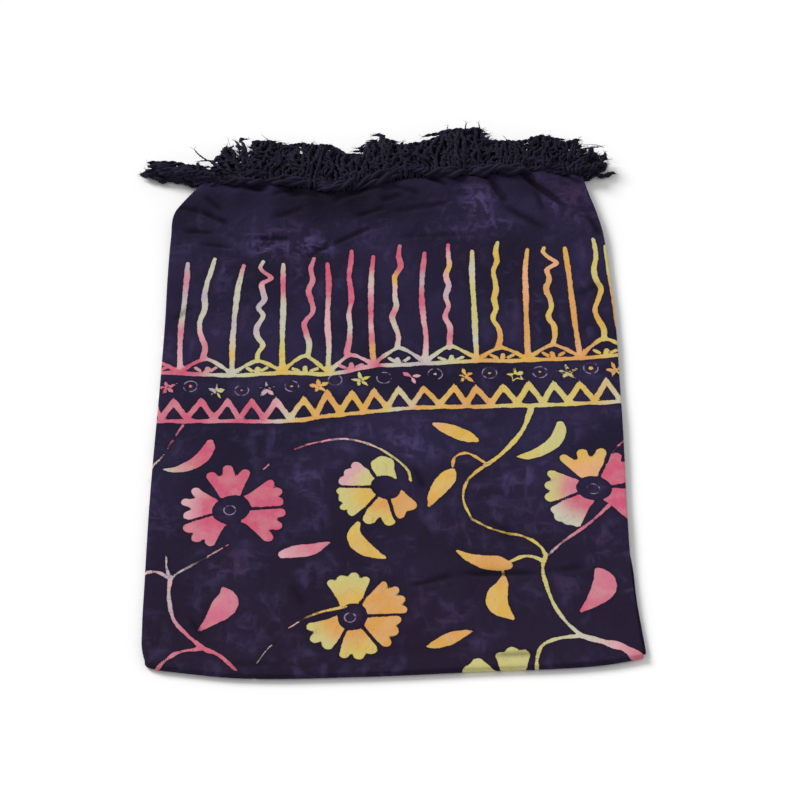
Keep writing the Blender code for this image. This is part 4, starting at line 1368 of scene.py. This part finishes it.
def tassel_path(root, share, row, sway, random):
    """The line of one tassel: out to its aim, then along the mass's outline."""
    aim = math.radians(lay_at(share, "aim") + random.normal(0.0, AIM_SPREAD))
    aim += sway.lean
    turn = lay_at(share, "turn")
    length = FRINGE_LENGTH * lay_at(share, "length") * sway.length
    length *= random.uniform(*LENGTH_SPREAD)
    kink = sway.kink + random.normal(0.0, 0.16)
    ripple = sway.ripple + random.normal(0.0, 0.5)
    own_kink = random.normal(0.0, OWN_KINK)
    lift = lay_at(share, "lift") + sway.lift
    lift = row.rise * (lift + random.uniform(*LIFT_SPREAD))
    count = int(length / STEP) + 1
    x, y, z = root
    path = []
    for i in range(count + 1):
        s = i / count
        heading = aim * smooth_step(s / turn)
        heading += kink * math.sin(4.2 * math.pi * s + ripple) * smooth_step(s / 0.25)
        heading += own_kink * math.sin(8.6 * math.pi * s + ripple) * smooth_step(s / 0.4)
        gap = table_curve(CROWN, "x", "y", x) + sway.over - y - 2.0 * PLY_RADIUS
        turned = smooth_step(1.0 - gap / sway.margin)
        heading += (sway.hook * CROWN_BEND - heading) * turned
        settle = (row.lay - z) * smooth_step(s / SETTLE_SHARE)
        arch = lift * math.sin(math.pi * s ** 0.75)
        lumps = LUMP_HEIGHT * math.sin(5.0 * math.pi * s + ripple)
        path.append((x, y, z + settle + arch + lumps * smooth_step(s / 0.1)))
        x += math.sin(heading) * length / count
        y += math.cos(heading) * length / count
    return np.array(path)


def edge_points(row, shares):
    """The line of a layer's back edge, at the middle of the cloth."""
    x, y = packet_point(shares, np.ones_like(shares))
    if row.edge is None:
        return x, y, top_height(x, y) - EDGE_RADIUS
    return x, y, np.full_like(x, row.edge)


def band_path(band, random):
    """One tassel of the ropey band, from the cloth's edge sideways along it."""
    count = int((band.x1 - band.x0) / STEP)
    t = np.linspace(0.0, 1.0, count)
    shift = random.uniform(-BAND_SHIFT, BAND_SHIFT)
    x = band.x0 + shift + t * (band.x1 - band.x0)
    edge = table_curve(BACK, "x", "y", x)
    off = band.off0 + t * (band.off1 - band.off0) + random.uniform(-BAND_SPREAD, BAND_SPREAD)
    angle = 2.0 * math.pi * t * random.uniform(0.8, 1.6) + random.uniform(0.0, 6.0)
    off = off + BAND_WAVE * np.sin(angle)
    y = edge + off
    arch = np.sin(math.pi * np.clip(t, 0.0, 1.0)) ** 0.5
    low = FRINGE_END_HEIGHT - BAND_SINK
    z = low + (band.lift + random.uniform(-BAND_UNEVEN, BAND_UNEVEN) - low) * arch
    return np.stack((x, y, z), axis=-1)


def curl_path(curl):
    count = max(int(curl.length / STEP), 6)
    heading = math.radians(curl.heading)
    x, y, z = curl.x, curl.y, curl.z
    path = []
    for _ in range(count + 1):
        path.append((x, y, z))
        heading += math.radians(curl.curl) / count
        x += math.sin(heading) * curl.length / count
        y += math.cos(heading) * curl.length / count
        z += 0.05 * curl.length / count
    return np.array(path)


def new_tuft(random):
    """A short matted end somewhere on the top layer's fringe."""
    share = random.uniform(0.01, 0.99)
    out = random.uniform(0.12, 1.0)
    aim = lay_at(share, "aim")
    xs, ys, _ = edge_points(ROWS[-1], np.array([share]))
    reach = TUFT_REACH * out * FRINGE_LENGTH * min(lay_at(share, "length"), 1.0)
    x = xs[0] + math.sin(math.radians(aim)) * reach
    y = ys[0] + math.cos(math.radians(aim)) * reach
    beside = x + TUFT_INSIDE * np.array([-1.0, 0.0, 1.0])
    y = min(y, min(table_curve(CROWN, "x", "y", beside)) - TUFT_INSIDE)
    z = ROWS[-1].lay + TUFT_RISE * math.sin(math.pi * out ** 0.75)
    heading = 0.5 * aim + random.normal(0.0, 60.0)
    curl = random.normal(0.0, 120.0)
    return Curl(x, y, z, random.uniform(*TUFT_LENGTHS), heading, curl, random.uniform(*TUFT_SIZES))


def make_fringe(row):
    yarn = Yarn(row.seed)
    shares = (np.arange(TASSELS) + 0.5) / TASSELS
    jitter = yarn.random.uniform(-0.3, 0.3, TASSELS) / TASSELS
    xs, ys, zs = edge_points(row, shares + jitter)
    for index, share in enumerate(shares):
        if index % BUNDLE == 0:
            sway = new_sway(share, yarn.random)
        root = (xs[index], ys[index] - ROOT_OVERLAP, zs[index])
        path = tassel_path(root, share, row, sway, yarn.random)
        size = lay_at(share, "size") * yarn.random.uniform(0.85, 1.15)
        yarn.tassel(path, size, 3, 4)
    if row.edge is None:
        for band in BANDS:
            for _ in range(band.count):
                size = band.size * yarn.random.uniform(0.9, 1.1)
                yarn.tassel(band_path(band, yarn.random), size, 2, 6, 0.4, 0.30)
        for curl in CURLS:
            yarn.tassel(curl_path(curl), curl.size, 3 if curl.size > 0.2 else 0)
        for _ in range(TUFTS):
            tuft = new_tuft(yarn.random)
            yarn.tassel(curl_path(tuft), tuft.size, 4, 2, 0.1)
    return yarn.build(row.node.replace("fringe", "yarn"))


# Colours of the yarn, as sRGB
YARN_DEEP = (23, 21, 31)
YARN_MID = (30, 27, 41)
YARN_LIT = (40, 35, 57)
YARN_FUZZ = (44, 39, 61)


def yarn_material():
    n = Nodes("fringe_yarn")
    tone = n.attribute("tone")
    place = n.node("ShaderNodeTexCoord", {}).outputs["Object"]
    fuzz = n.noise(place, 900.0, 3.0, 0.6)
    lump = n.noise(place, 60.0, 3.0, 0.5)
    deep = n.blend(n.ease(lump, 0.35, 0.65), rgba(YARN_DEEP), rgba(YARN_MID))
    lit = n.blend(n.ease(tone, 0.2, 1.4, 0.0, 0.8), deep, rgba(YARN_LIT))
    colour = n.blend(n.ease(fuzz, 0.3, 0.75, 0.0, 0.30), lit, rgba(YARN_FUZZ))
    n.put(n.shader.inputs["Base Color"], colour)
    n.finish({"Roughness": 0.95, "Specular IOR Level": 0.06, "Sheen Weight": 0.02,
              "Sheen Roughness": 0.6})
    n.bump(fuzz, 0.6, 0.0004)
    return n.material


def plain_material(name, colour, roughness):
    n = Nodes(name)
    n.finish({"Base Color": (*colour, 1.0), "Roughness": roughness, "Specular IOR Level": 0.1})
    return n.material


# The camera, as the photo was taken, and a soft studio. The camera points down by
# its pitch and to the right by its turn.
CAMERA_PLACE = Vector((-0.02796, -1.94523, 2.31975))
CAMERA_PITCH = math.radians(50.0)
CAMERA_TURN = math.radians(1.331)
CAMERA_LENS = 109.69
SENSOR = 36.0
FLOOR_DROP = 0.0002
FLOOR_SIZE = 80.0
FLOOR_COLOUR = (0.97, 0.97, 0.97)
FLOOR_ROUGHNESS = 0.9
SKY_STRENGTH = 0.56
KEY_PLACE = (-1.5, 1.3, 1.3)
KEY_SPREAD = math.radians(24.0)
KEY_STRENGTH = 2.8


def make_camera():
    data = bpy.data.cameras.new("photo_camera")
    data.lens = CAMERA_LENS
    data.sensor_width = SENSOR
    camera = add_object("photo_camera", data)
    turn = Euler((math.pi / 2.0 - CAMERA_PITCH, 0.0, -CAMERA_TURN))
    camera.matrix_world = Matrix.LocRotScale(CAMERA_PLACE, turn, None)
    bpy.context.scene.camera = camera


def make_key():
    """A wide, soft light that shines from its place to the origin."""
    data = bpy.data.lights.new("key", "SUN")
    data.angle = KEY_SPREAD
    data.energy = KEY_STRENGTH
    light = add_object("key", data)
    light.rotation_euler = (-Vector(KEY_PLACE)).to_track_quat("-Z", "Y").to_euler()


def make_studio():
    """A large pale floor under the packet, white light all round, and the key."""
    mesh = bpy.data.meshes.new("floor")
    half = FLOOR_SIZE / 2.0
    corners = [(-half, -half), (half, -half), (half, half), (-half, half)]
    mesh.from_pydata([(x, y, -FLOOR_DROP) for x, y in corners], [], [(0, 1, 2, 3)])
    mesh.materials.append(plain_material("floor", FLOOR_COLOUR, FLOOR_ROUGHNESS))
    floor = add_object("floor", mesh)
    world = bpy.data.worlds.new("studio")
    world.use_nodes = True
    sky = world.node_tree.nodes["Background"]
    sky.inputs["Color"].default_value = (1.0, 1.0, 1.0, 1.0)
    sky.inputs["Strength"].default_value = SKY_STRENGTH
    bpy.context.scene.world = world
    make_key()
    bpy.context.scene.view_settings.view_transform = "Standard"


cloth_material = batik_material()
cloth = make_sheet("batik_cloth", sheet_columns(CLOTH_COLUMNS, NOSE_STEPS), outer_column, True)
cloth.data.materials.append(cloth_material)
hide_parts("cloth_outer")
inner_columns = [Column(INNER_START + share * (1.0 - INNER_START), 0.0, 0.0, 0.0)
                 for share in np.linspace(0.0, 1.0, INNER_COLUMNS)]
inner_columns += [Column(1.0, out, depth, way) for out, depth, way in edge_return()]
inner = make_sheet("batik_inner", inner_columns, inner_column, False)
inner.data.materials.append(cloth_material)
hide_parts("cloth_inner")
yarn_finish = yarn_material()
for fringe_row in ROWS:
    tassel_piece = make_fringe(fringe_row)
    tassel_piece.data.materials.append(yarn_finish)
    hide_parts(fringe_row.node)
    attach(tassel_piece, BODY)
for sheet in (cloth, inner):
    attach(sheet, BODY)
make_camera()
make_studio()
